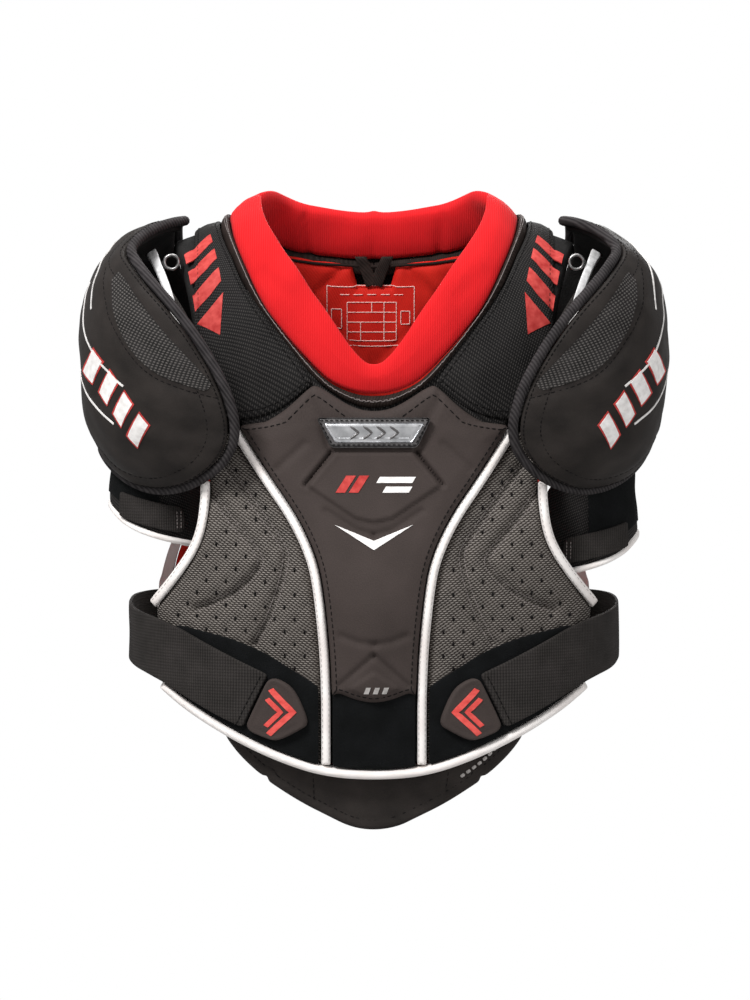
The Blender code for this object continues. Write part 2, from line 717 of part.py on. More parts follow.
def make_side_strap(word, side, looks):
    """A wide elastic strap from the rear band round the side to its moulded tab in front."""
    high = [turn_at(88, -369), turn_at(133, -348), turn_at(172, -328), turn_of(90, -318)]
    high += [turn_of(118, -318), turn_of(STRAP_HINGE_ANGLE, -324)]
    low = [turn_of(STRAP_HINGE_ANGLE, -374), turn_of(118, -368), turn_of(90, -366)]
    low += [turn_at(178, -378), turn_at(149, -395), turn_at(109, -414)]
    strap = laid(f"side_strap_{word}", high + low, round_body, STRAP, looks["elastic"], side)
    end = [turn_at(87, -370), turn_at(108, -415), turn_at(89, -423), turn_at(80, -424.5)]
    end += [turn_at(64, -416), turn_at(55, -410), turn_at(63, -389), turn_at(71, -377)]
    end = [(turn - SEAM_GAP, z) for turn, z in end]
    tab = laid(f"strap_tab_{word}", end, round_body, TAB, looks["chest"], side)
    root = round_body(turn_of(STRAP_HINGE_ANGLE, 0)[0], -0.345, sum(STRAP) / 2.0)
    pivot(f"side_strap_pivot_{word}", (root.x * side, root.y, root.z), [strap, tab])
    return [strap, tab]


def main():
    clear_scene()
    looks = {
        "red": material("red_stretch_fabric", RED, 0.7),
        "black": material("black_fabric", BLACK, 0.85),
        "dark": material("brown_black_binding", CHARCOAL, 0.8),
        "chest": material("moulded_foam", CHARCOAL, 0.55),
        "side": material("grey_mesh_fabric", BROWN_GREY, 0.85),
        "cap": material("coated_black_fabric", CHARCOAL, 0.5),
        "foam": material("black_foam", BLACK, 0.9),
        "elastic": material("black_elastic", CHARCOAL, 0.8),
        "white": material("white_piping", WHITE, 0.5),
        "silver": material("silver_badge", SILVER, 0.3, 1.0),
    }
    make_collar(looks)
    make_hang_loop(looks)
    make_front(looks)
    make_badge(looks)
    make_belly_flap(looks)
    make_back(looks)
    make_shoulders(looks)
    for word, side in SIDES.items():
        make_cap(word, side, looks)
        make_arm_guard(word, side, looks)
        make_side_strap(word, side, looks)


main()
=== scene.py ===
"""Looks of a pair of ice hockey shoulder pads, laid out as a Blender add-on."""

import math

import bmesh
import bpy
import numpy as np
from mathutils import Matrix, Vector


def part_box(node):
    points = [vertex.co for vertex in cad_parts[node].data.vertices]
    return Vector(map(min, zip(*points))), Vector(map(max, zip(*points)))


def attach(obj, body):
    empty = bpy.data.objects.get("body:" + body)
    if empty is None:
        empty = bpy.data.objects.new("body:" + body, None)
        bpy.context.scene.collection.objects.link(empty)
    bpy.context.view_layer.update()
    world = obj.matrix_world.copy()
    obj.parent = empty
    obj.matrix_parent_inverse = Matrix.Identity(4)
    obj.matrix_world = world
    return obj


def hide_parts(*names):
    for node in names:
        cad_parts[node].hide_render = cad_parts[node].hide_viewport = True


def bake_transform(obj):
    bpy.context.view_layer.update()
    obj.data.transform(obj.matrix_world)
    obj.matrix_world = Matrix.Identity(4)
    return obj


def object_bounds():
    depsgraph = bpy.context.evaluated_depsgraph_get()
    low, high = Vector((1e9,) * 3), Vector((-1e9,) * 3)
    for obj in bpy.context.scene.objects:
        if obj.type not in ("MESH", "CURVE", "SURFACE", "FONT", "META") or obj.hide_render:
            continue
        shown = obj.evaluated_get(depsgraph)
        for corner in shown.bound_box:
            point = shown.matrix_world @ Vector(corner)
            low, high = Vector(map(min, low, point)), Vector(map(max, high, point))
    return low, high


bl_info = {
    "name": "Hockey Shoulder Pads",
    "version": (1, 0, 0),
    "blender": (4, 5, 0),
    "location": "View3D > Sidebar > Shoulder Pads",
    "description": "Builds the cloth, foam, piping and webbing of a pair of shoulder pads",
    "category": "Object",
}

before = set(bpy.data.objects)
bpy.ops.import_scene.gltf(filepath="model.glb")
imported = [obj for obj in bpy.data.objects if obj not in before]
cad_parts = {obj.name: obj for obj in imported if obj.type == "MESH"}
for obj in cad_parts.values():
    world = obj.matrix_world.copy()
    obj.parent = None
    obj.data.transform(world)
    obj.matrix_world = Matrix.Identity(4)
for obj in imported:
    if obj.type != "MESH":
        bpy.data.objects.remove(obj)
CAD_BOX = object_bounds()

MM = 0.001
GLOSSY_SPECULAR = 0.5
CREASE_DEEPENING = 1.8
FLOOR_SIZE = 12.0
FLOOR_DROP = 0.14
YOKE_BAR_SPANS = ((0.02, 0.16), (0.27, 0.41), (0.52, 0.66), (0.77, 1.0))
SIDES = {"left": 1.0, "right": -1.0}

# The wearer's body, the shoulder caps and the arm guards, as the frame holds them.
CHEST = (0.186, 0.116)
SHOULDER = (0.236, 0.086)
BODY_POWER = 2.5
ARMPIT_Z = -0.320
ARCH_FOOT_Z = -0.160
ARCH_LENGTH = 0.430
ARCH_POWER = 2.3
CREST = (0.130, -0.008)
TRAPEZIUS_SLOPE, SHOULDER_SLOPE = 0.70, 0.35
FOAM_TOP = 0.014
CAP_CENTRE = np.array((0.128, 0.0, -0.100))
CAP_HALVES = (0.127, 0.146)
CAP_RISE, CAP_DROP = 0.115, 0.142
CAP_POWER = 2.6
CAP_RADIUS = 0.130
ARM_CENTRE = (0.184, -0.008)
ARM_HALVES = (0.036, 0.046)
ARM_TOP, ARM_BOTTOM = -0.150, -0.275
ARM_TAPER = 0.78
ARM_RADIUS = 0.050
LEFT_ARM_DROP = -0.026
WAIST_RADIUS = 0.150
FLAP_FOLD_Z = -0.4605

# Layers of cloth and foam, as distances out from those shapes.
LINER = (0.0, 0.004)
FOAM = (0.0055, 0.014)
PLATE = (0.019, 0.029)
SIDE_PAD = (0.0055, 0.019)
YOKE = (0.0155, 0.019)
COVER = (0.0155, 0.018)
OUTER_PAD = (0.0195, 0.029)
LOOP_BAND = (0.0205, 0.023)
STRAP = (0.0245, 0.0275)
TAB = (0.0245, 0.029)
REAR_BAND = (0.0195, 0.0275)
COLLAR = (0.0055, 0.023)
BINDING = (0.0055, 0.021)
PIPING = (0.0055, 0.025)
ARMHOLE_PIPING = (0.0055, 0.0195)
NECK_UNDERLAY = (0.0142, 0.0152)
SEAM_LAP = 0.0010
BACK_BINDING = (0.0, 0.018)
FLAP = (0.0, 0.006)
FLAP_SEAM = (0.0, 0.0045)
CAP_SHELL = (-0.0045, 0.0)
CAP_LINER = (-0.0065, -0.0115)
GUARD_LINER = (0.004, 0.0)
GUARD_SHELL = (0.0055, 0.012)
GUARD_STRAP = (0.0135, 0.016)


class ShoulderPadsSettings(bpy.types.PropertyGroup):
    """Sizes and colours that a user would change."""

    cell: bpy.props.FloatProperty(
        name="Cell", description="Mesh pitch of padded cloth", default=0.0036, unit="LENGTH"
    )
    fine_cell: bpy.props.FloatProperty(
        name="Fine Cell", description="Mesh pitch of moulded pieces", default=0.0019, unit="LENGTH"
    )
    hidden_cell: bpy.props.FloatProperty(
        name="Hidden Cell", description="Mesh pitch of inner foam", default=0.009, unit="LENGTH"
    )
    stitch: bpy.props.FloatProperty(
        name="Stitch Pitch", description="Distance between stitches", default=0.0052, unit="LENGTH"
    )
    red: bpy.props.StringProperty(name="Red", description="Collar and lining", default="#D31A1E")
    black: bpy.props.StringProperty(name="Black", description="Body cloth", default="#1D1C1C")
    chest: bpy.props.StringProperty(name="Chest", description="Moulded foam", default="#3A3331")
    grey: bpy.props.StringProperty(name="Grey", description="Side mesh threads", default="#8B857F")
    white: bpy.props.StringProperty(name="White", description="Piping", default="#F6F2EF")


def settings():
    return bpy.context.scene.shoulder_pads


# ---------------------------------------------------------------- surfaces


def ease(share):
    share = np.clip(share, 0.0, 1.0)
    return share * share * (3.0 - 2.0 * share)


def body_halves(z):
    share = ease((z - ARMPIT_Z) / (ARCH_FOOT_Z - ARMPIT_Z))
    return tuple(low + (high - low) * share for low, high in zip(CHEST, SHOULDER))


def shoulder_rise(x):
    past = np.abs(x) - CREST[0]
    return CREST[1] - ARCH_FOOT_Z - np.where(past > 0.0, SHOULDER_SLOPE, TRAPEZIUS_SLOPE) * past


def signed_power(value, power):
    return np.sign(value) * np.abs(value) ** power


class Body:
    """The body: u is x, and v runs up the chest, over the shoulder and down the back."""

    @staticmethod
    def reach(x, z, out):
        width, depth = body_halves(z)
        share = np.minimum(np.abs(x) / (width + out), 1.0)
        return (depth + out) * (1.0 - share**BODY_POWER) ** (1.0 / BODY_POWER)

    @staticmethod
    def place(u, v, out):
        z = ARCH_FOOT_Z - np.maximum(np.maximum(-v, v - ARCH_LENGTH), 0.0)
        angle = np.pi * np.clip(v / ARCH_LENGTH, 0.0, 1.0)
        ahead = signed_power(np.cos(angle), 2.0 / ARCH_POWER)
        up = np.maximum(np.sin(angle), 0.0) ** (2.0 / ARCH_POWER)
        up = np.where((v <= 0.0) | (v >= ARCH_LENGTH), 0.0, up)
        return np.stack([u, -Body.reach(u, z, out) * ahead, z + (shoulder_rise(u) + out) * up], -1)

    @staticmethod
    def find(points, out):
        x, y, z = points.T
        up = np.maximum(z - ARCH_FOOT_Z, 0.0) / (shoulder_rise(x) + out)
        ahead = np.abs(y) / np.maximum(Body.reach(x, np.minimum(z, ARCH_FOOT_Z), out), 1e-6)
        angle = np.arctan2(up ** (ARCH_POWER / 2.0), ahead ** (ARCH_POWER / 2.0))
        path = np.where(z < ARCH_FOOT_Z, z - ARCH_FOOT_Z, angle / np.pi * ARCH_LENGTH)
        return np.stack([x, np.where(y < 0.0, path, ARCH_LENGTH - path)], -1)


class Waist:
    """Round the body: u is the way round from the front, and v is z."""

    @staticmethod
    def place(u, v, out):
        width, depth = body_halves(v)
        side = signed_power(np.sin(u / WAIST_RADIUS), 2.0 / BODY_POWER)
        ahead = signed_power(np.cos(u / WAIST_RADIUS), 2.0 / BODY_POWER)
        return np.stack([(width + out) * side, -(depth + out) * ahead, v], -1)

    @staticmethod
    def find(points, out):
        x, y, z = points.T
        width, depth = body_halves(z)
        side = (np.abs(x) / (width + out)) ** (BODY_POWER / 2.0)
        ahead = signed_power(-y / (depth + out), BODY_POWER / 2.0)
        return np.stack([np.arctan2(side, ahead) * WAIST_RADIUS, z], -1)


class Cap:
    """The left cap: the distance from the sheet's middle is the angle off +X, and u is forward."""

    @staticmethod
    def place(u, v, out):
        off = np.hypot(u, v) / CAP_RADIUS
        around = np.arctan2(u, v)
        ray = np.stack([np.cos(off), -np.sin(off) * np.sin(around), np.sin(off) * np.cos(around)])
        height = np.where(ray[2] > 0.0, CAP_RISE, CAP_DROP)
        halves = np.stack(
            [CAP_HALVES[0] + out + 0.0 * u, CAP_HALVES[1] + out + 0.0 * u, height + out]
        )
        total = (np.abs(ray / halves) ** CAP_POWER).sum(0)
        return CAP_CENTRE + (ray / total ** (1.0 / CAP_POWER)).T

    @staticmethod
    def find(points, out):
        ray = points - CAP_CENTRE
        ray = ray / np.linalg.norm(ray, axis=1)[:, None]
        off = np.arccos(np.clip(ray[:, 0], -1.0, 1.0)) * CAP_RADIUS
        around = np.arctan2(-ray[:, 1], ray[:, 2])
        return np.stack([off * np.sin(around), off * np.cos(around)], -1)


class Arm:
    """An arm guard: u is the way round the arm from its outer side, and v is z."""

    @staticmethod
    def sizes(v, out):
        taper = 1.0 + (ARM_TAPER - 1.0) * (v - ARM_BOTTOM) / (ARM_TOP - ARM_BOTTOM)
        return ARM_HALVES[0] * taper + out, ARM_HALVES[1] * taper + out

    @staticmethod
    def place(u, v, out):
        wide, deep = Arm.sizes(v, out)
        angle = u / ARM_RADIUS
        x = ARM_CENTRE[0] + wide * np.cos(angle)
        return np.stack([x, ARM_CENTRE[1] - deep * np.sin(angle), v + 0.0 * u], -1)

    @staticmethod
    def find(points, out):
        x, y, z = points.T
        wide, deep = Arm.sizes(z, out)
        angle = np.arctan2((ARM_CENTRE[1] - y) / deep, (x - ARM_CENTRE[0]) / wide)
        return np.stack([np.where(angle < -2.2, angle + 2 * np.pi, angle) * ARM_RADIUS, z], -1)


def front(points, out=FOAM_TOP):
    """Places on the chest, from x and z in millimetres as a layer there holds them."""
    x, z = np.array(points, float).T * MM
    share = np.clip((z - ARCH_FOOT_Z) / (shoulder_rise(x) + out), 0.0, 1.0)
    path = np.arcsin(share ** (ARCH_POWER / 2.0)) / np.pi * ARCH_LENGTH
    return np.stack([x, np.where(z <= ARCH_FOOT_Z, z - ARCH_FOOT_Z, path)], -1)


def back(points, out=FOAM_TOP):
    """Places on the back, from x and z in millimetres as a layer there holds them."""
    place = front(points, out)
    return np.stack([place[:, 0], ARCH_LENGTH - place[:, 1]], -1)


def cap_front(points):
    """Places on the front of the left cap, from x and z in millimetres."""
    x, z = np.array(points, float).T * MM
    across, up = x - CAP_CENTRE[0], z - CAP_CENTRE[2]
    height = np.where(up > 0.0, CAP_RISE, CAP_DROP)
    left = 1.0 - np.abs(across / CAP_HALVES[0]) ** CAP_POWER - np.abs(up / height) ** CAP_POWER
    y = -CAP_HALVES[1] * np.maximum(left, 0.0) ** (1.0 / CAP_POWER)
    return Cap.find(np.stack([x, y, z], -1), 0.0)


def arm(points):
    """Places on an arm guard, from degrees round it and z in millimetres."""
    degrees, z = np.array(points, float).T
    return np.stack([np.radians(degrees) * ARM_RADIUS, z * MM], -1)


def waist(points):
    """Places round the body, from x as the front shows it and z in millimetres."""
    x, z = np.array(points, float).T * MM
    width, _ = body_halves(z)
    share = np.minimum(np.abs(x) / (width + STRAP[0]), 1.0)
    return np.stack([np.arcsin(share ** (BODY_POWER / 2.0)) * WAIST_RADIUS, z], -1)


# ---------------------------------------------------------------- lines in a sheet


def distance_to(line, u, v, closed=False):
    """Distance from each (u, v) to a line of points."""
    line = np.asarray(line, float)
    starts, ends = (line, np.roll(line, -1, 0)) if closed else (line[:-1], line[1:])
    best = np.full(u.shape, 1e9)
    for a, b in zip(starts, ends):
        step = b - a
        length = max(float(step @ step), 1e-14)
        t = np.clip(((u - a[0]) * step[0] + (v - a[1]) * step[1]) / length, 0.0, 1.0)
        best = np.minimum(best, (u - a[0] - t * step[0]) ** 2 + (v - a[1] - t * step[1]) ** 2)
    return np.sqrt(best)


def inside(line, u, v):
    """Whether each (u, v) is inside a closed line."""
    crossed = np.zeros(u.shape, bool)
    for a, b in zip(line, np.roll(line, -1, 0)):
        if a[1] != b[1]:
            spans = (a[1] > v) != (b[1] > v)
            crossed ^= spans & (u < (b[0] - a[0]) * (v - a[1]) / (b[1] - a[1]) + a[0])
    return crossed


def straightened(line, slack=0.00006):
    """A closed line without the points that lie on the straight between their neighbours."""
    points = [np.asarray(p, float) for p in line]
    i = 0
    while i < len(points) and len(points) > 3:
        a, here, b = points[i - 1], points[i], points[(i + 1) % len(points)]
        if distance_to([a, b], here[:1], here[1:])[0] < slack:
            del points[i]
            i = max(i - 1, 0)
        else:
            i += 1
    return points


def rounded(line, closed=True, rounds=3, corner=0.003, reach=0.016):
    """A line with its gentle turns made curves, and its sharp corners eased by a corner size."""
    points = [np.asarray(p, float) for p in line]
    for turn_limit in [38.0] * rounds:
        cut = []
        for i, here in enumerate(points):
            if not closed and i in (0, len(points) - 1):
                cut.append(here)
                continue
            before, after = points[i - 1] - here, points[(i + 1) % len(points)] - here
            short, long = sorted((np.linalg.norm(before), np.linalg.norm(after)))
            if short < 1e-6:
                continue
            straight = -(before @ after) / short / long
            turn = math.degrees(math.acos(min(max(straight, -1.0), 1.0)))
            most = reach if turn < turn_limit else corner
            if turn < 0.4 or most < 0.0004:
                cut.append(here)
                continue
            for way in (before, after):
                size = np.linalg.norm(way)
                cut.append(here + way / size * min(size / 4.0, most))
        points = cut
        reach, corner = reach / 2.0, corner / 2.0
    return np.array(points)


def densified(line, pitch, closed=True):
    """A line with no gap between points longer than a pitch."""
    line = np.asarray(line, float)
    ends = np.roll(line, -1, 0) if closed else line[1:]
    points = []
    for a, b in zip(line, ends):
        count = max(1, math.ceil(np.linalg.norm(b - a) / pitch))
        points += [a + (b - a) * k / count for k in range(count)]
    return np.array(points if closed else points + [line[-1]])


def counter_clockwise(line):
    line = np.asarray(line, float)
    x, y = line.T
    return line if np.sum(x * np.roll(y, -1) - np.roll(x, -1) * y) > 0.0 else line[::-1]


def inwards(line):
    """The direction to the inside at each point of a counter-clockwise closed line."""
    way = np.roll(line, -1, 0) - np.roll(line, 1, 0)
    way /= np.maximum(np.linalg.norm(way, axis=1), 1e-12)[:, None]
    return np.stack([-way[:, 1], way[:, 0]], -1)


def moved_in(line, distance):
    """A closed line moved inwards, no point past the middle of what the line holds."""
    line = counter_clockwise(line)
    normal = inwards(line)
    travel = np.zeros(len(line))
    for share in np.linspace(0.1, 1.0, 10):
        spot = line + normal * distance * share
        clear = distance_to(line, spot[:, 0], spot[:, 1], closed=True)
        travel = np.where(clear >= 0.93 * distance * share, distance * share, travel)
    return line + normal * travel[:, None]


def strip(line, width):
    """The closed outline of a strip of cloth along a line."""
    line = np.asarray(line, float)
    way = np.gradient(line, axis=0)
    way /= np.maximum(np.linalg.norm(way, axis=1), 1e-12)[:, None]
    across = np.stack([-way[:, 1], way[:, 0]], -1) * width / 2.0
    return np.concatenate([line + across, (line - across)[::-1]])


def mirrored(line):
    """A half outline from the centreline to the centreline, and its mirror image."""
    line = np.asarray(line, float)
    other = [(-x, y) for x, y in line[::-1] if x > 1e-6]
    return np.concatenate([line, other])


def evenly(line, pitch):
    """Middles and directions of marks a pitch apart along an open line."""
    line = np.asarray(line, float)
    run = np.concatenate([[0.0], np.cumsum(np.linalg.norm(np.diff(line, axis=0), axis=1))])
    marks = np.arange(pitch / 2.0, run[-1], pitch)

    def at(places):
        return np.stack([np.interp(places, run, line[:, k]) for k in (0, 1)], -1)

    return at(marks), at(marks + pitch / 8.0) - at(marks - pitch / 8.0)


# ---------------------------------------------------------------- pieces


def linked(name, mesh, look):
    mesh.materials.append(look)
    piece = bpy.data.objects.new(name, mesh)
    bpy.context.scene.collection.objects.link(piece)
    return piece


def select_only(piece):
    bpy.ops.object.select_all(action="DESELECT")
    piece.select_set(True)
    bpy.context.view_layer.objects.active = piece


def rim_of(node, surface, outer, side=1.0, lift=0.0):
    """The outline of a CAD sheet's outer face, in the surface's own sheet."""
    mesh = bmesh.new()
    mesh.from_mesh(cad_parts[node].data)
    bmesh.ops.remove_doubles(mesh, verts=mesh.verts[:], dist=1e-5)
    points = np.array([v.co for v in mesh.verts]) * (side, 1.0, 1.0) - (0.0, 0.0, lift)
    sheet = surface.find(points, outer)
    on_top = np.linalg.norm(surface.place(*sheet.T, outer) - points, axis=1) < 3e-4
    follow = {}
    for edge in mesh.edges:
        a, b = (v.index for v in edge.verts)
        if on_top[a] and on_top[b]:
            flat = [all(on_top[v.index] for v in face.verts) for face in edge.link_faces]
            if sum(flat) == 1:
                follow.setdefault(a, []).append(b)
                follow.setdefault(b, []).append(a)
    mesh.free()
    if not follow:
        raise RuntimeError(f"no outline found on {node}")
    loop, last = [min(follow)], None
    while len(loop) <= len(follow):
        onward = [k for k in follow[loop[-1]] if k != last]
        if not onward or onward[0] == loop[0]:
            break
        last = loop[-1]
        loop.append(onward[0])
    return counter_clockwise(straightened(sheet[loop]))


class Sheet:
    """A padded sheet: an outline on a surface, flat at one layer and crowned out to another."""

    def __init__(self, outline, surface, layer, radius, relief=None, side=1.0, lift=0.0, edge=0.25):
        self.outline = counter_clockwise(outline)
        self.surface, self.layer, self.radius, self.relief = surface, layer, radius, relief
        self.side, self.lift, self.edge = side, lift, edge
        self.double = False
        self.puff = 0.0

    def levels(self, u, v):
        """How far out the crowned face and the face behind it are, at each place of the sheet."""
        base, face = self.layer
        thick, out = abs(face - base), math.copysign(1.0, face - base)
        gap = distance_to(self.outline, u, v, closed=True)
        share = np.clip(gap / self.radius, 0.0, 1.0)
        crown = self.edge + (1.0 - self.edge) * np.sqrt(1.0 - (1.0 - share) ** 2)
        behind = thick / 2.0 * (1.0 - crown) if self.double else 0.0 * crown
        rise = thick * (0.5 + 0.5 * crown if self.double else crown) + self.puff * share
        if self.relief is not None:
            rise = rise + self.relief(u, v, gap)
        return base + out * np.maximum(rise, behind + 0.0005), base + out * behind

    def level(self, u, v):
        return self.levels(u, v)[0]

    def world(self, u, v, level):
        return self.surface.place(u, v, level) * (self.side, 1.0, 1.0) + (0.0, 0.0, self.lift)

    def on(self, places, above=0.0002):
        """Points in space a little above the crowned face."""
        u, v = np.asarray(places).T
        out = math.copysign(above, self.layer[1] - self.layer[0])
        return self.world(u, v, self.level(u, v) + out)

    def build(self, name, look, cell, levels=None):
        """The piece as a closed mesh, with its sheet as its UV map."""
        rings = [densified(self.outline, min(cell * 1.2, 0.004))]
        for share in (0.07, 0.28, 0.62):
            rings.append(moved_in(rings[0], self.radius * share))
        flat = bmesh.new()
        loops = [[flat.verts.new((u, v, 0.0)) for u, v in ring] for ring in rings]
        for low, high in zip(loops, loops[1:]):
            for i in range(len(low)):
                flat.faces.new((low[i - 1], low[i], high[i], high[i - 1]))
        middle = flat.faces.new(loops[-1])
        work = [middle, *middle.edges, *middle.verts]
        for axis, normal in ((0, (1.0, 0.0, 0.0)), (1, (0.0, 1.0, 0.0))):
            low, high = rings[-1][:, axis].min(), rings[-1][:, axis].max()
            for k in range(math.ceil(low / cell), math.floor(high / cell) + 1):
                made = bmesh.ops.bisect_plane(
                    flat,
                    geom=work,
                    dist=cell / 15.0,
                    plane_co=Vector((k * cell, k * cell, 0.0)),
                    plane_no=normal,
                )
                work = made["geom"]
        bmesh.ops.remove_doubles(flat, verts=flat.verts[:], dist=0.00008)
        raised = bmesh.ops.extrude_face_region(flat, geom=flat.faces[:], use_keep_orig=True)
        outer = {item for item in raised["geom"] if isinstance(item, bmesh.types.BMVert)}
        cloth = flat.loops.layers.uv.new("cloth")
        for face in flat.faces:
            for loop in face.loops:
                loop[cloth].uv = loop.vert.co.xy
        place = np.array([v.co for v in flat.verts])[:, :2]
        top = np.array([v in outer for v in flat.verts])
        high, low = (levels or self.levels)(*place.T)
        for vertex, point in zip(flat.verts, self.world(*place.T, np.where(top, high, low))):
            vertex.co = point
        bmesh.ops.recalc_face_normals(flat, faces=flat.faces[:])
        if flat.calc_volume(signed=True) < 0.0:
            bmesh.ops.reverse_faces(flat, faces=flat.faces[:])
        mesh = bpy.data.meshes.new(name)
        flat.to_mesh(mesh)
        flat.free()
        mesh.shade_smooth()
        mesh.set_sharp_from_angle(angle=math.radians(70.0))
        return linked(name, mesh, look)

    def decal(self, name, outline, look, cell, thick=0.0006, radius=0.0004):
        """A thin print or patch that follows this sheet's crowned face."""
        patch = Sheet(outline, self.surface, self.layer, radius, side=self.side, lift=self.lift)
        out = math.copysign(1.0, self.layer[1] - self.layer[0])

        def levels(u, v):
            face = self.level(u, v)
            return face + out * thick, face - out * 0.0004

        return patch.build(name, look, cell, levels)

    def stitches(self, name, lines, look, pitch, length=0.0032, width=0.0010):
        """Rows of stitches along lines in the sheet."""
        tails, heads = [], []
        for line in lines:
            middles, ways = evenly(line, pitch)
            ways *= length / 2.0 / np.maximum(np.linalg.norm(ways, axis=1), 1e-12)[:, None]
            tails.append(self.on(middles - ways, 0.0001))
            heads.append(self.on(middles + ways, 0.0001))
        return rods(name, np.concatenate(tails), np.concatenate(heads), width / 2.0, look)


def rods(name, tails, heads, radius, look):
    """Short rounded rods from each tail to each head, as one mesh."""
    sides = 5
    angles = [2.0 * math.pi * k / sides for k in range(sides)]
    verts, faces = [], []
    for tail, head in zip(tails, heads):
        along = Vector(head - tail)
        if along.length < 1e-6:
            continue
        across = along.orthogonal().normalized()
        up = along.cross(across).normalized()
        base = len(verts)
        for share, size in ((-0.05, 0.4), (0.12, 1.0), (0.88, 1.0), (1.05, 0.4)):
            middle = Vector(tail) + along * share
            for a in angles:
                verts.append(middle + (across * math.cos(a) + up * math.sin(a)) * radius * size)
        for k in range(3):
            for i in range(sides):
                j = (i + 1) % sides
                a = base + k * sides
                faces.append((a + i, a + j, a + sides + j, a + sides + i))
        faces.append(tuple(base + i for i in reversed(range(sides))))
        faces.append(tuple(base + 3 * sides + i for i in range(sides)))
    mesh = bpy.data.meshes.new(name)
    mesh.from_pydata([tuple(v) for v in verts], [], faces)
    mesh.shade_smooth()
    return linked(name, mesh, look)


def cord_along(name, points, radius, look, closed=False):
    """A round piping or rolled edge through points in space, made a mesh."""
    curve = bpy.data.curves.new(name, "CURVE")
    curve.dimensions = "3D"
    curve.bevel_depth = radius
    curve.bevel_resolution = 3
    curve.use_fill_caps = True
    spline = curve.splines.new("POLY")
    spline.points.add(len(points) - 1)
    for spot, point in zip(spline.points, points):
        spot.co = (*point, 1.0)
    spline.use_cyclic_u = closed
    piece = bpy.data.objects.new(name, curve)
    bpy.context.scene.collection.objects.link(piece)
    select_only(piece)
    bpy.ops.object.convert(target="MESH")
    piece = bpy.context.view_layer.objects.active
    piece.data.shade_smooth()
    piece.data.materials.clear()
    piece.data.materials.append(look)
    return piece


def groove(line, depth, width, closed=False):
    """A sewn channel: a relief that dips along a line."""

    def relief(u, v, gap):
        return -depth * np.exp(-((distance_to(line, u, v, closed) / width) ** 2))

    return relief


def summed(*reliefs):
    def relief(u, v, gap):
        return sum(each(u, v, gap) for each in reliefs)

    return relief


def worn(amount, size, seed=0.0):
    """Slow, shallow unevenness of cloth over foam."""

    def relief(u, v, gap):
        a = np.sin(u / size + seed + 1.7 * np.sin(v / size * 0.7 + seed))
        b = np.sin(v / size * 1.3 - seed + 1.3 * np.sin(u / size * 0.9))
        return amount * (a * b - 0.3)

    return relief


def dress(piece, body, *nodes, slot=None, fill=None):
    """Hooks a finished piece to its body and hides the nodes that it stands for."""
    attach(piece, body)
    if nodes:
        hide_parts(*nodes)
    return piece


# ---------------------------------------------------------------- materials


def linear(code):
    """An sRGB hex colour as the linear colour that shaders take."""
    parts = [int(code.lstrip("#")[k : k + 2], 16) / 255.0 for k in (0, 2, 4)]
    return (*[c / 12.92 if c <= 0.04045 else ((c + 0.055) / 1.055) ** 2.4 for c in parts], 1.0)


def node(tree, kind, inputs=None, **settings_):
    """Adds a shader node with its settings, values and links."""
    made = tree.nodes.new(kind)
    for key, value in settings_.items():
        setattr(made, key, value)
    for key, value in (inputs or {}).items():
        if isinstance(value, bpy.types.NodeSocket):
            tree.links.new(value, made.inputs[key])
        else:
            made.inputs[key].default_value = value
    return made


def finish_look(name, colour, height, bump_mm, **shader_values):
    """A material from a colour socket and a height socket."""
    tree = colour.id_data
    shader = tree.nodes["Principled BSDF"]
    tree.links.new(colour, shader.inputs["Base Color"])
    shader.inputs["Specular IOR Level"].default_value = 0.07
    for key, value in shader_values.items():
        shader.inputs[key.replace("_", " ")].default_value = value
    if height is not None:
        bump = node(
            tree, "ShaderNodeBump", {"Strength": 1.0, "Distance": bump_mm * MM, "Height": height}
        )
        tree.links.new(bump.outputs[0], shader.inputs["Normal"])
    return bpy.data.materials[name]


def started(name, in_sheet=True, turn=0.0):
    """A new material's tree and the coordinates that its pattern follows, in metres."""
    made = bpy.data.materials.new(name)
    made.use_nodes = True
    tree = made.node_tree
    if in_sheet:
        source = node(tree, "ShaderNodeUVMap", uv_map="cloth").outputs[0]
    else:
        source = node(tree, "ShaderNodeTexCoord").outputs["Object"]
    spun = node(tree, "ShaderNodeMapping", {"Vector": source, "Rotation": (0.0, 0.0, turn)})
    return tree, spun.outputs[0]


def blotches(tree, place, size, low, high, detail=3.0):
    """Soft colour variation between two colours, in patches of a size in metres."""
    noise = node(
        tree, "ShaderNodeTexNoise", {"Vector": place, "Scale": 1.0 / size, "Detail": detail}
    )
    ramp = node(tree, "ShaderNodeValToRGB", {"Fac": noise.outputs["Fac"]})
    ramp.color_ramp.elements[0].position, ramp.color_ramp.elements[1].position = 0.32, 0.70
    ramp.color_ramp.elements[0].color, ramp.color_ramp.elements[1].color = linear(low), linear(high)
    return ramp.outputs[0]


def bands(tree, place, pitch, along="X", wander=0.0):
    """Ridges a pitch apart, from 0 to 1."""
    wave = node(
        tree,
        "ShaderNodeTexWave",
        {"Vector": place, "Scale": 0.314159 / pitch, "Distortion": wander, "Detail Scale": 2.0},
        bands_direction=along,
    )
    return wave.outputs["Fac"]


def product(tree, a, b, operation="MULTIPLY"):
    return node(tree, "ShaderNodeMath", {0: a, 1: b}, operation=operation).outputs[0]


def mixed(tree, share, a, b):
    made = node(tree, "ShaderNodeMix", {0: share, 6: a, 7: b}, data_type="RGBA")
    return made.outputs[2]


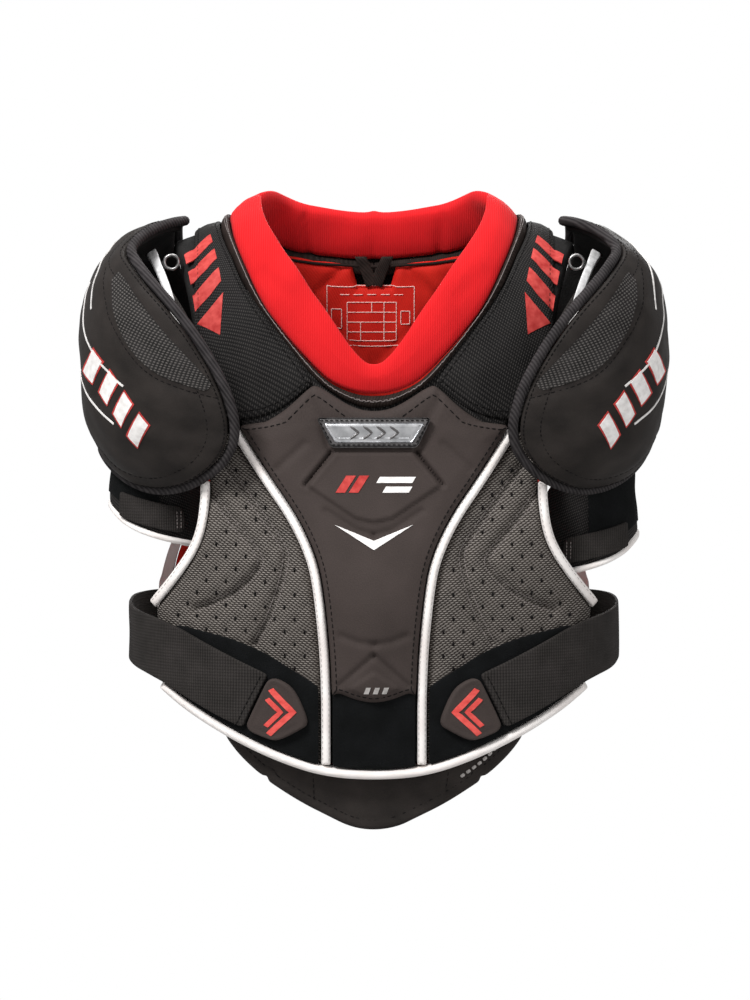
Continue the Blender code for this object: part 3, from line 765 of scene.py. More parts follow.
def red_rib_knit():
    """Polyester rib knit, circular knitted: soft, matt, with fine ribs that catch a pink sheen."""
    tree, place = started("red_rib_knit")
    ribs = bands(tree, place, 1.9 * MM)
    base = blotches(tree, place, 0.05, "#C3161A", settings().red)
    # The ribs' ridges are painted a lighter pink: a painted sheen, on top of the shader's own faint
    # sheen.
    colour = mixed(tree, product(tree, ribs, 0.16), base, linear("#F2484E"))
    return finish_look(
        "red_rib_knit", colour, ribs, 0.16, Roughness=0.82, Sheen_Weight=0.04, Sheen_Roughness=0.5
    )


def red_quilt_lining():
    """Brushed nylon tricot, laminated to foam: smoother than the collar, with a faint twill."""
    tree, place = started("red_quilt_lining", turn=0.6)
    twill = bands(tree, place, 1.7 * MM)
    base = blotches(tree, place, 0.03, "#B81A14", "#D8281F")
    colour = mixed(tree, product(tree, twill, 0.10), base, linear("#EE5A4A"))
    return finish_look("red_quilt_lining", colour, twill, 0.08, Roughness=0.62)


def binding_tape():
    """Woven polyester tape, folded over the edge: brown-black, with cross ribs."""
    tree, place = started("woven_binding_tape", turn=0.785)
    ribs = bands(tree, place, 1.8 * MM)
    base = blotches(tree, place, 0.012, "#1A1513", "#2E2522")
    colour = mixed(tree, product(tree, ribs, 0.20), base, linear("#4E433F"))
    return finish_look("woven_binding_tape", colour, ribs, 0.2, Roughness=0.72)


def rolled_binding():
    """Grey-black knit binding, rolled round the caps' rims, with a pale crossed rib."""
    tree, place = started("rolled_binding", in_sheet=False, turn=0.5)
    ribs = bands(tree, place, 2.4 * MM, "DIAGONAL")
    base = blotches(tree, place, 0.01, "#1D1B1C", "#312E2F")
    colour = mixed(tree, product(tree, ribs, 0.30), base, linear("#5E5A5A"))
    return finish_look("rolled_binding", colour, ribs, 0.3, Roughness=0.8)


def moulded_foam():
    """Compression-moulded EVA foam under brushed jersey: brown-black, fine leathery grain."""
    tree, place = started("moulded_foam")
    grain = node(tree, "ShaderNodeTexNoise", {"Vector": place, "Scale": 900.0, "Detail": 4.0})
    base = blotches(tree, place, 0.035, "#332D2B", settings().chest)
    colour = mixed(tree, product(tree, grain.outputs["Fac"], 0.35), base, linear("#5E534F"))
    return finish_look(
        "moulded_foam", colour, grain.outputs["Fac"], 0.18, Roughness=0.66,
    )


def side_mesh():
    """Woven polyester air mesh: grey threads over black, in a diagonal twill of 2.2 mm cells."""
    tree, place = started("side_mesh")
    across = bands(tree, place, 1.75 * MM, "Y", 0.4)
    turned = node(tree, "ShaderNodeMapping", {"Vector": place, "Rotation": (0.0, 0.0, 0.96)})
    slant = bands(tree, turned.outputs[0], 2.3 * MM, "X", 0.6)
    threads = product(tree, across, slant)
    base = blotches(tree, place, 0.02, "#2A2624", "#393431")
    sharp = node(tree, "ShaderNodeMapRange", {0: threads, 1: 0.10, 2: 0.62}).outputs[0]
    colour = mixed(tree, sharp, base, linear(settings().grey))
    return finish_look("side_mesh", colour, threads, 0.45, Roughness=0.78)


def knit_mesh():
    """Warp-knitted spacer mesh: black, with rows of small holes and a dull shine on the loops."""
    tree, place = started("knit_mesh", turn=0.35)
    rows = bands(tree, place, 2.3 * MM, "Y", 0.5)
    columns = bands(tree, place, 1.9 * MM, "X", 0.5)
    loops = product(tree, rows, columns)
    base = blotches(tree, place, 0.03, "#121112", settings().black)
    # The loops are painted a lighter grey: a painted highlight of their dull shine.
    colour = mixed(tree, product(tree, loops, 0.8), base, linear("#474442"))
    return finish_look("knit_mesh", colour, loops, 0.4, Roughness=0.74)


def cap_cloth():
    """Coated stretch nylon, laminated to foam: charcoal with a soft satin bloom and light wear."""
    tree, place = started("cap_cloth")
    weave = node(tree, "ShaderNodeTexNoise", {"Vector": place, "Scale": 1100.0, "Detail": 3.0})
    base = blotches(tree, place, 0.028, "#1B1918", "#2D2927", 5.0)
    colour = mixed(tree, product(tree, weave.outputs["Fac"], 0.28), base, linear("#4A4441"))
    return finish_look(
        "cap_cloth", colour, weave.outputs["Fac"], 0.14, Roughness=0.56,
    )


def cap_rib_cloth():
    """Ribbed stretch panel on the caps: close pale ribs across a black ground."""
    tree, place = started("cap_rib_cloth", turn=0.4)
    ribs = bands(tree, place, 2.4 * MM, "Y", 0.7)
    dashes = bands(tree, place, 3.0 * MM, "X", 0.7)
    threads = product(tree, ribs, dashes)
    base = blotches(tree, place, 0.02, "#1B1A1A", "#2A2828")
    colour = mixed(tree, product(tree, threads, 0.8), base, linear("#6A6663"))
    return finish_look("cap_rib_cloth", colour, threads, 0.35, Roughness=0.78)


def loop_pile():
    """Brushed nylon loop pile of a hook-and-loop fastener: deep black, fuzzy, no shine."""
    tree, place = started("nylon_loop_pile")
    fuzz = node(
        tree,
        "ShaderNodeTexNoise",
        {"Vector": place, "Scale": 600.0, "Detail": 6.0, "Roughness": 0.8},
    )
    base = blotches(tree, place, 0.02, "#070808", "#101112")
    colour = mixed(tree, product(tree, fuzz.outputs["Fac"], 0.25), base, linear("#2C2D2E"))
    return finish_look(
        "nylon_loop_pile", colour, fuzz.outputs["Fac"], 0.9, Roughness=0.97,
    )


def woven_elastic():
    """Woven elastic webbing: charcoal, with close cross ribs and a dull face."""
    tree, place = started("woven_elastic")
    ribs = bands(tree, place, 2.0 * MM, "X", 0.3)
    cords = bands(tree, place, 2.6 * MM, "Y", 0.2)
    height = product(tree, ribs, cords, "ADD")
    base = blotches(tree, place, 0.02, "#201E1D", "#2D2A29")
    colour = mixed(tree, product(tree, ribs, 0.30), base, linear("#4D4946"))
    return finish_look("woven_elastic", colour, height, 0.22, Roughness=0.8)


def white_piping():
    """Satin bias tape over a cord: white, softly shiny, very slightly soiled."""
    tree, place = started("polyester_piping")
    weave = bands(tree, place, 1.4 * MM, "DIAGONAL")
    colour = blotches(tree, place, 0.03, "#E6DEDA", settings().white)
    return finish_look("polyester_piping", colour, weave, 0.06, Roughness=0.5)


def satin_tape():
    """White satin tape: glossy, with a fine lengthwise thread."""
    tree, place = started("polyester_satin_tape")
    weave = bands(tree, place, 1.2 * MM)
    colour = blotches(tree, place, 0.008, "#C9C8C8", "#F2F1F1")
    gloss = dict(Roughness=0.32, Coat_Weight=0.2, Specular_IOR_Level=GLOSSY_SPECULAR)
    return finish_look("polyester_satin_tape", colour, weave, 0.08, **gloss)


def chromed_plastic():
    """Vacuum-metallised ABS: bright silver with faint vertical brushing."""
    tree, place = started("chromed_plastic", in_sheet=False)
    streaks = bands(tree, place, 0.9 * MM, "X", 3.0)
    colour = blotches(tree, place, 0.01, "#B9BABC", "#E9E9EB")
    gloss = dict(Roughness=0.30, Metallic=1.0, Specular_IOR_Level=GLOSSY_SPECULAR)
    return finish_look("chromed_plastic", colour, streaks, 0.01, **gloss)


def smoked_plastic():
    """Dark satin ABS of the badge's rim: grey-black, with a soft highlight."""
    tree, place = started("smoked_plastic", in_sheet=False)
    colour = blotches(tree, place, 0.004, "#4A4848", "#6B6868")
    gloss = dict(Roughness=0.38, Metallic=0.4, Specular_IOR_Level=GLOSSY_SPECULAR)
    return finish_look("smoked_plastic", colour, None, 0.0, **gloss)


def ring_steel():
    """Nickel-plated steel wire: grey, smooth and worn to a dull shine."""
    tree, place = started("ring_steel", in_sheet=False)
    colour = blotches(tree, place, 0.003, "#7C7A7A", "#A9A7A6")
    gloss = dict(Roughness=0.34, Metallic=1.0, Specular_IOR_Level=GLOSSY_SPECULAR)
    return finish_look("ring_steel", colour, None, 0.0, **gloss)


def pad_foam():
    """Cut polyethylene foam: charcoal, with closed cells of about a millimetre."""
    tree, place = started("pad_foam", in_sheet=False)
    cells = node(tree, "ShaderNodeTexVoronoi", {"Vector": place, "Scale": 700.0})
    base = blotches(tree, place, 0.02, "#171717", "#242323")
    colour = mixed(tree, product(tree, cells.outputs["Distance"], 0.3), base, linear("#3C3B3A"))
    return finish_look("pad_foam", colour, cells.outputs["Distance"], 0.25, Roughness=0.9)


def hard_sheet():
    """Extruded polyethylene sheet: milky white, with a soft shine."""
    tree, place = started("hard_sheet", in_sheet=False)
    colour = blotches(tree, place, 0.02, "#C9C6C2", "#DDDAD6")
    return finish_look("hard_sheet", colour, None, 0.0, Roughness=0.45)


def ink(name, low, high, roughness=0.5):
    """Screen-printed plastisol ink or rubber print: even colour with a slight shine."""
    tree, place = started(name)
    grain = node(tree, "ShaderNodeTexNoise", {"Vector": place, "Scale": 700.0, "Detail": 2.0})
    colour = blotches(tree, place, 0.006, low, high)
    return finish_look(name, colour, grain.outputs["Fac"], 0.06, Roughness=roughness)


def thread(name, low, high):
    """Twisted polyester sewing thread."""
    tree, place = started(name, in_sheet=False)
    colour = blotches(tree, place, 0.004, low, high)
    return finish_look(name, colour, None, 0.0, Roughness=0.6)


LOOKS = {}


def look(name):
    return LOOKS[name]


def make_looks():
    makers = (
        red_rib_knit, red_quilt_lining, binding_tape, rolled_binding, moulded_foam, side_mesh,
        knit_mesh, cap_cloth, cap_rib_cloth, loop_pile, woven_elastic, white_piping, satin_tape,
        chromed_plastic, smoked_plastic, ring_steel, pad_foam, hard_sheet,
    )
    for maker in makers:
        LOOKS[maker.__name__] = maker()
    for name, low, high, shine in (
        ("red_print", "#A93432", "#C9504B", 0.5),
        ("white_print", "#DAD6D3", "#F7F4F2", 0.45),
        ("label_print", "#F0B3AC", "#FBDAD4", 0.6),
        ("salmon_print", "#C94440", "#E8635C", 0.45),
        ("pale_print", "#9E9A97", "#B9B5B2", 0.6),
    ):
        LOOKS[name] = ink(name, low, high, shine)
    LOOKS["dark_thread"] = thread("dark_thread", "#0E0D0D", "#1B1919")
    LOOKS["grey_thread"] = thread("grey_thread", "#6E6765", "#8C8482")


# ---------------------------------------------------------------- shared shapes


def rim(name, surface, outer, side=1.0, lift=0.0, corner=0.003):
    return rounded(rim_of(name, surface, outer, side, lift), corner=corner)


def whole(half):
    """The outline of both halves of a piece, from the left half's outline."""
    half = [tuple(p) for p in half]
    seams = [
        i for i, p in enumerate(half) if p[0] < 0.0012 and half[(i + 1) % len(half)][0] < 0.0012
    ]
    start = (seams[-1] + 1) % len(half)
    path = half[start:] + half[:start]
    if len(seams) == 1:
        path[0], path[-1] = (0.0, path[0][1]), (0.0, path[-1][1])
        return mirrored(path)
    cut = (seams[0] - start) % len(half) + 1
    first, second = path[:cut], path[cut:]
    if first[0][1] > first[-1][1]:
        first, second = second, first
    first[0], second[-1] = (0.0, first[0][1]), (0.0, second[-1][1])
    ring = [(-x, y) for x, y in first[:0:-1]] + first + second
    return np.array(ring + [(-x, y) for x, y in second[-2::-1]])


def both(line):
    """A line on the left half, and its mirror image."""
    line = np.asarray(line, float)
    return [line, line * (-1.0, 1.0)]


def soft_line(points):
    return densified(rounded(points, closed=False), 0.004, closed=False)


# ---------------------------------------------------------------- pieces of the pads


class PadsOperator:
    """What every operator of this add-on shares."""

    bl_options = {"REGISTER"}

    def execute(self, context):
        self.make(settings())
        return {"FINISHED"}


class SHOULDERPADS_OT_looks(PadsOperator, bpy.types.Operator):
    """Mixes the cloth, foam, print and metal materials"""

    bl_idname = "shoulder_pads.looks"
    bl_label = "Materials"

    def make(self, sizes):
        make_looks()


class SHOULDERPADS_OT_collar(PadsOperator, bpy.types.Operator):
    """Sews the padded collar, its back band, its binding and the loop that it hangs by"""

    bl_idname = "shoulder_pads.collar"
    bl_label = "Collar"

    def make(self, sizes):
        outline = rounded(whole(rim_of("collar_lobe_left", Body, COLLAR[1])), corner=0.009)
        dents = [groove(line, 0.0012, 0.004) for line in both(front([(70, -60), (96, -40)]))]
        relief = summed(worn(0.0011, 0.021, 0.4), *dents)
        lobes = Sheet(outline, Body, COLLAR, 0.017, relief, edge=0.35)
        lobes.double = True
        piece = lobes.build("collar_lobes", look("red_rib_knit"), sizes.cell)
        dress(
            piece, "torso", "collar_lobe_left", "collar_lobe_right", slot="collar_fabric", fill=0.8
        )

        outline = rounded(rim_of("collar_back_band", Body, COLLAR[1]), corner=0.006)
        seams = both(back([(61, 20), (57, -30)]))
        relief = summed(worn(0.0008, 0.02, 2.0), *[groove(line, 0.002, 0.004) for line in seams])
        band = Sheet(outline, Body, COLLAR[::-1], 0.016, relief, edge=0.35)
        band.double = True
        piece = band.build("collar_band", look("red_rib_knit"), sizes.cell)
        dress(piece, "torso", "collar_back_band", slot="collar_fabric", fill=0.8)

        outline = rounded(whole(rim_of("collar_binding_left", Body, BINDING[1])), corner=0.0)
        tape = Sheet(outline, Body, BINDING, 0.0035, edge=0.7)
        piece = tape.build("collar_binding", look("binding_tape"), sizes.cell)
        dress(piece, "torso", "collar_binding_left", "collar_binding_right", slot="binding_tape")
        row = [moved_in(densified(tape.outline, 0.004), 0.0026)]
        piece = tape.stitches(
            "collar_binding_stitches", row, look("grey_thread"), 0.0046, width=0.0007
        )
        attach(piece, "torso")
        underlay = [(0, -146), (22, -141), (48, -124), (78, -86), (106, -48), (128, -100)]
        underlay += [(110, -165), (60, -182), (0, -178)]
        backing = Sheet(mirrored(front(underlay)), Body, NECK_UNDERLAY, 0.0004)
        piece = backing.build("neck_underlay", look("knit_mesh"), sizes.hidden_cell)
        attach(piece, "torso")

        seam = soft_line(back([(-88, -11), (-54, -19), (0, -23), (54, -19), (88, -11)]))
        piping = Body.place(*seam.T, -0.0008)
        piece = cord_along("collar_seam_piping", piping, 0.0013, look("binding_tape"))
        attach(piece, "torso")
        folded = [(-17, -20), (-7, -20), (0, -35), (7, -20), (17, -20), (7, -47), (-7, -47)]
        path = counter_clockwise(np.array(back(folded, 0.0)))
        ribbon = Sheet(path, Body, (-0.0010, -0.0032), 0.0009, edge=0.6)
        piece = ribbon.build("hang_loop_ribbon", look("binding_tape"), 0.003)
        dress(piece, "torso", "hang_loop", slot="binding_tape")


def chest_relief():
    """The moulded hexagon, slots, creases, dome and chevrons of the chest plate."""
    hexagon = mirrored(front([(0, -185), (34, -185), (56, -212), (15, -239), (0, -242)]))
    tip = mirrored(front([(0, -366), (22, -380), (0, -389)]))
    slots = both(front([(35, -185), (57, -212)]))
    creases = [
        *[(line, 0.0011, 0.0028) for line in both(front([(54, -143), (43, -161), (37, -184)]))],
        *[(line, 0.0010, 0.0032) for line in both(front([(81, -199), (58, -178)]))],
        *[(line, 0.0012, 0.0024) for line in both(front([(40, -233), (15, -249), (0, -253)]))],
        *[(line, 0.0011, 0.0030) for line in both(front([(27, -336), (14, -341), (0, -343)]))],
        *[(line, 0.0014, 0.0022) for line in both(front([(29, -378), (0, -352)]))],
    ]
    dome = front([(0, -322)])[0]

    def relief(u, v, gap):
        rise = np.zeros(u.shape)
        for outline, height in ((hexagon, 0.0030), (tip, 0.0024)):
            edge = distance_to(outline, u, v, closed=True)
            signed = np.where(inside(outline, u, v), edge, -edge)
            rise += height * ease((signed + 0.0010) / 0.0024)
        for line in slots:
            away = distance_to(line, u, v)
            rise += 0.0007 * np.exp(-(((away - 0.0042) / 0.0014) ** 2))
            rise -= 0.0046 * np.exp(-((away / 0.0016) ** 2))
        for line, depth, width in creases:
            rise -= CREASE_DEEPENING * depth * np.exp(-((distance_to(line, u, v) / width) ** 2))
        rise += 0.0050 * np.exp(-((u / 0.021) ** 2) - ((v - dome[1]) / 0.042) ** 2)
        return rise - 0.0022 * ease(1.0 - gap / 0.016)

    return relief


class SHOULDERPADS_OT_chest(PadsOperator, bpy.types.Operator):
    """Moulds the chest plate, prints its marks and lays the foam and lining behind it"""

    bl_idname = "shoulder_pads.chest"
    bl_label = "Chest plate"

    def make(self, sizes):
        outline = rim("chest_plate", Body, PLATE[1])
        plate = Sheet(outline, Body, PLATE, 0.005, chest_relief(), edge=0.4)
        piece = plate.build("moulded_chest_plate", look("moulded_foam"), sizes.fine_cell)
        dress(piece, "torso", "chest_plate", slot="moulded_chest_foam", fill=0.9)

        cell = sizes.fine_cell * 1.6
        chevron = mirrored(front([(0, -257.5), (32.5, -244.5), (0, -265)]))
        piece = plate.decal("chest_chevron", chevron, look("white_print"), cell)
        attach(piece, "torso")
        marks = []
        for left in (-32.0, -21.0):
            marks.append(([(left, -218), (left + 8, -218), (left + 17, -204), (left + 9, -204)], 0))
        for right, long in ((2.0, 30.0), (7.0, 22.0)):
            drop = -205.0 if long == 30.0 else -213.0
            bar = [(right, drop - 5), (right + long, drop - 5), (right + long + 3, drop)]
            marks.append(([*bar, (right + 3, drop)], 1))
        for k, (points, pale) in enumerate(marks):
            ink_look = look("white_print" if pale else "red_print")
            piece = plate.decal(f"chest_mark_{k}", front(points), ink_look, cell)
            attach(piece, "torso")
        for k, left in enumerate((-8.5, -1.0, 6.5)):
            points = [(left, -384), (left + 4, -384), (left + 6, -378.5), (left + 2, -378.5)]
            piece = plate.decal(f"size_mark_{k}", front(points), look("pale_print"), cell)
            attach(piece, "torso")
        edge = [moved_in(densified(plate.outline, 0.003), 0.0042)]
        piece = plate.stitches("chest_plate_stitches", edge, look("dark_thread"), sizes.stitch)
        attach(piece, "torso")

        for node_name, name, layer in (
            ("chest_foam", "chest_inner_foam", FOAM),
            ("front_liner", "front_lining", LINER[::-1]),
        ):
            lining = Sheet(rim(node_name, Body, max(layer)), Body, layer, 0.003, edge=0.5)
            cloth = look("pad_foam" if layer == FOAM else "knit_mesh")
            piece = lining.build(name, cloth, sizes.hidden_cell)
            dress(piece, "torso", node_name, fill=0.9)
        paint_node("sternum_insert", "hard_sheet")


def paint_node(node_name, look_name):
    """Gives a CAD node that keeps its shape a finished material."""
    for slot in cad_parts[node_name].material_slots:
        slot.material = look(look_name)


def lattice(u, v, pitch):
    """Distance to the nearest mark of a staggered lattice."""
    row = np.round(v / (pitch * 0.62))
    shift = np.where(row % 2 == 0, 0.0, pitch / 2.0)
    across = (u - shift + pitch / 2.0) % pitch - pitch / 2.0
    return np.hypot(across, v - row * pitch * 0.62)


class SHOULDERPADS_OT_side_pads(PadsOperator, bpy.types.Operator):
    """Quilts the mesh side pads of the chest, with their seams and their perforations, dotted dark
    with the foam behind and painted shade
    """

    bl_idname = "shoulder_pads.side_pads"
    bl_label = "Side pads"

    def make(self, sizes):
        pitch = 0.0165
        seams = [
            soft_line(front(line))
            for line in (
                [(134, -186), (107, -221), (76, -262), (72, -275), (84, -316), (99, -345)],
                [(146, -208), (121, -242), (96, -270), (94, -279)]
                + [(104, -293), (126, -309), (150, -318)],
            )
        ]
        for word, side in SIDES.items():
            outline = rim(f"side_chest_pad_{word}", Body, SIDE_PAD[1], side)
            outline = moved_in(outline, -SEAM_LAP)

            def perforation_dips(u, v, gap):
                sunk = np.exp(-((lattice(u, v, pitch) / 0.0034) ** 2))
                return -0.0018 * sunk * ease(gap / 0.008)

            channels = [groove(line, 0.0046, 0.0030) for line in seams]
            channels += [groove(line, 0.0030, 0.0110) for line in seams]
            relief = summed(perforation_dips, worn(0.0007, 0.018, side), *channels)
            pad = Sheet(outline, Body, SIDE_PAD, 0.007, relief, side, edge=0.45)
            piece = pad.build(f"side_pad_{word}", look("side_mesh"), sizes.cell * 0.8)
            dress(piece, "torso", f"side_chest_pad_{word}", slot="side_mesh_fabric", fill=0.7)
            # Perforations: short near-black rods sit in the dips of a staggered lattice. They stand
            # for the dark foam seen through each hole and for painted shade inside it.
            spots = []
            low, high = outline.min(0), outline.max(0)
            for row in range(int(low[1] / pitch / 0.62) - 1, int(high[1] / pitch / 0.62) + 2):
                shift = 0.0 if row % 2 == 0 else pitch / 2.0
                for column in range(int(low[0] / pitch) - 1, int(high[0] / pitch) + 2):
                    spots.append((column * pitch + shift, row * pitch * 0.62))
            spots = np.array(spots)
            clear = inside(pad.outline, *spots.T)
            clear &= distance_to(pad.outline, *spots.T, closed=True) > 0.009
            for line in seams:
                clear &= distance_to(line, *spots.T) > 0.005
            spots = spots[clear]
            name = f"side_pad_hole_shade_{word}"
            tails, heads = pad.on(spots - (0.0008, 0.0), 0.0), pad.on(spots + (0.0008, 0.0), 0.0)
            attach(rods(name, tails, heads, 0.0020, look("dark_thread")), "torso")
            rows = []
            for line in seams:
                for part in (strip(line, 0.0046)[: len(line)], strip(line, 0.0046)[len(line) :]):
                    keep = inside(pad.outline, *part.T)
                    rows.append(part[keep])
            rows = [row for row in rows if len(row) > 2]
            name = f"side_pad_stitches_{word}"
            piece = pad.stitches(name, rows, look("grey_thread"), 0.0044, width=0.0007)
            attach(piece, "torso")


class SHOULDERPADS_OT_piping(PadsOperator, bpy.types.Operator):
    """Runs the white piping down the chest, round the armholes and along the hem"""

    bl_idname = "shoulder_pads.piping"
    bl_label = "Piping"

    def make(self, sizes):
        white = look("white_piping")
        for word, side in SIDES.items():
            for kind, layer in (
                ("chest_piping", PIPING),
                ("armhole_piping", ARMHOLE_PIPING),
                ("back_binding", BACK_BINDING),
            ):
                outline = rim(f"{kind}_{word}", Body, layer[1], side, corner=0.001)
                bead = Sheet(outline, Body, layer, 0.0038, side=side, edge=0.62)
                piece = bead.build(f"{kind}_tape_{word}", white, sizes.cell)
                dress(piece, "torso", f"{kind}_{word}", slot="white_piping", fill=1.0)
                row = [moved_in(densified(bead.outline, 0.003), 0.0014)]
                name = f"{kind}_stitches_{word}"
                piece = bead.stitches(name, row, look("pale_print"), 0.0046, 0.0022, 0.0006)
                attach(piece, "torso")
        outline = rim("hem_piping", Body, PIPING[1], corner=0.001)
        bead = Sheet(outline, Body, PIPING, 0.0038, edge=0.62)
        piece = bead.build("hem_piping_tape", white, sizes.cell)
        dress(piece, "torso", "hem_piping", slot="white_piping", fill=1.0)


class SHOULDERPADS_OT_loop_bands(PadsOperator, bpy.types.Operator):
    """Lays the loop-pile bands that the side straps press on to"""

    bl_idname = "shoulder_pads.loop_bands"
    bl_label = "Loop bands"

    def make(self, sizes):
        for word in ("centre", "left", "right"):
            side = SIDES.get(word, 1.0)
            name = f"loop_band_{word}"
            outline = rim(name, Body, LOOP_BAND[1], side, corner=0.002)
            if word == "centre":
                under = front([(0, -380)])[0][1]
                outline[:, 1] = np.where(outline[:, 1] > under - 0.02, under, outline[:, 1])
            band = Sheet(outline, Body, LOOP_BAND, 0.0018, worn(0.0003, 0.012), side, edge=0.6)
            piece = band.build(f"{name}_pile", look("loop_pile"), sizes.cell * 1.3)
            dress(piece, "torso", name, slot="loop_pile")


class SHOULDERPADS_OT_badge(PadsOperator, bpy.types.Operator):
    """Moulds the plain silver badge in its dark stitched rim"""

    bl_idname = "shoulder_pads.badge"
    bl_label = "Badge"

    def make(self, sizes):
        low, high = (np.array(c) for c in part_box("badge_frame"))
        lean = 0.0567
        parts = (
            ("badge_rim", 0.0, 0.0, 0.0011, "smoked_plastic", "badge_frame"),
            ("badge_face", 0.0042, -0.0009, 0.0008, "chromed_plastic", "badge_plate"),
        )
        for name, inset, forward, bevel, look_name, node_name in parts:
            piece = self.block(name, low, high, inset, forward, bevel, lean)
            piece.data.materials.append(look(look_name))
            dress(piece, "torso", node_name, slot="badge_metal")
        face_y = low[1] - 0.0010
        middle = (low + high) / 2.0
        tails, heads = [], []
        for k, shift in enumerate((-0.0165, -0.0055, 0.0055, 0.0165)):
            for way in (1.0, -1.0):
                point = (middle[0] + shift + 0.004, middle[2])
                end = (middle[0] + shift - 0.003, middle[2] + way * 0.0052)
                for box, (x, z) in ((tails, point), (heads, end)):
                    box.append((x, face_y + lean * (z - middle[2]) + 0.0013, z))
        mark = rods("badge_mark", np.array(tails), np.array(heads), 0.0011, look("smoked_plastic"))
        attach(mark, "torso")
        corners = [(-0.0457, 0.0102), (0.0457, 0.0102), (0.0345, -0.0102), (-0.0345, -0.0102)]
        row, ways = evenly(densified(corners + corners[:1], 0.002, closed=False), 0.0042)
        ends = []
        for sign in (-1.0, 1.0):
            spots = row + sign * ways / np.linalg.norm(ways, axis=1)[:, None] * 0.0012
            x, z = spots[:, 0] + middle[0], spots[:, 1] + middle[2]
            ends.append(np.stack([x, low[1] + lean * (z - middle[2]) + 0.0006, z], -1))
        piece = rods("badge_stitches", *ends, 0.0005, look("dark_thread"))
        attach(piece, "torso")

    @staticmethod
    def block(name, low, high, inset, forward, bevel, lean):
        """A tapered plate with a rounded edge and a raised rim."""
        middle, size = (low + high) / 2.0, high - low
        bpy.ops.object.select_all(action="DESELECT")
        bpy.ops.mesh.primitive_cube_add(size=1.0, location=middle)
        piece = bpy.context.view_layer.objects.active
        piece.name = name
        piece.scale = (size[0] - 2.6 * inset, 0.0030, size[2] - 2.0 * inset)
        bpy.ops.object.transform_apply(location=True, rotation=True, scale=True)
        mesh = piece.data
        for vertex in mesh.vertices:
            if vertex.co.z < middle[2]:
                vertex.co.x *= 0.75
            vertex.co.y += forward
        for edge in mesh.edges:
            ends = [mesh.vertices[k].co for k in edge.vertices]
            edge.select = abs(ends[0].x - ends[1].x) + abs(ends[0].z - ends[1].z) < 1e-6
        bpy.ops.object.mode_set(mode="EDIT")
        bpy.ops.mesh.bevel(offset=bevel * 3.2, segments=4)
        bpy.ops.mesh.select_all(action="DESELECT")
        bpy.ops.object.mode_set(mode="OBJECT")
        for face in mesh.polygons:
            face.select = face.normal.y < -0.99
        bpy.ops.object.mode_set(mode="EDIT")
        bpy.ops.mesh.bevel(offset=bevel * 0.6, segments=2, clamp_overlap=True)
        bpy.ops.mesh.select_all(action="DESELECT")
        bpy.ops.object.mode_set(mode="OBJECT")
        for face in mesh.polygons:
            face.select = face.normal.y < -0.99
        bpy.ops.object.mode_set(mode="EDIT")
        bpy.ops.mesh.inset(thickness=0.0021)
        bpy.ops.mesh.inset(thickness=0.0006)
        bpy.ops.transform.translate(value=(0.0, 0.0007, 0.0))
        bpy.ops.object.mode_set(mode="OBJECT")
        for vertex in mesh.vertices:
            vertex.co.y += lean * (vertex.co.z - middle[2])
        mesh.shade_smooth()
        mesh.set_sharp_from_angle(angle=math.radians(35.0))
        return piece


class SHOULDERPADS_OT_belly_flap(PadsOperator, bpy.types.Operator):
    """Cuts the belly flap in one with the strip that sews it under the hem"""

    bl_idname = "shoulder_pads.belly_flap"
    bl_label = "Belly flap"

    def make(self, sizes):
        upper = rim("belly_flap_seam", Body, FLAP_SEAM[1])
        lower = rim("belly_flap", Body, FLAP[1])
        fold = FLAP_FOLD_Z - ARCH_FOOT_Z
        runs = []
        for line, keep in (
            (upper, upper[:, 1] > fold + 0.0022),
            (lower, lower[:, 1] < fold - 0.002),
        ):
            first = next(i for i in range(len(line)) if keep[i] and not keep[i - 1])
            turned = np.roll(line, -first, 0)
            runs.append(turned[np.roll(keep, -first)])
        outline = rounded(np.concatenate(runs))
        seam = moved_in(densified(outline, 0.004), 0.0085)
        below = seam[seam[:, 1] < fold + 0.03]
        ribs = [front([(-52, -438), (-50, -478)]), front([(65, -438), (60, -470)])]
        reliefs = [groove(below, 0.0014, 0.0022), worn(0.0007, 0.02, 1.0)]
        reliefs += [groove(line, 0.0011, 0.0022) for line in ribs]
        flap = Sheet(outline, Body, FLAP, 0.004, summed(*reliefs), edge=0.4)
        piece = flap.build("belly_flap_cloth", look("cap_cloth"), sizes.cell)
        stitches = flap.stitches("belly_flap_stitches", [below, *ribs], look("dark_thread"), 0.005)
        line = [soft_line(front([(72, -458), (90, -446), (107, -430)]))]
        printed = flap.stitches(
            "belly_flap_print", line, look("pale_print"), 0.0058, 0.0036, 0.0030
        )
        for each in (piece, stitches, printed):
            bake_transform(each)
        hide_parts("belly_flap_seam", "belly_flap")


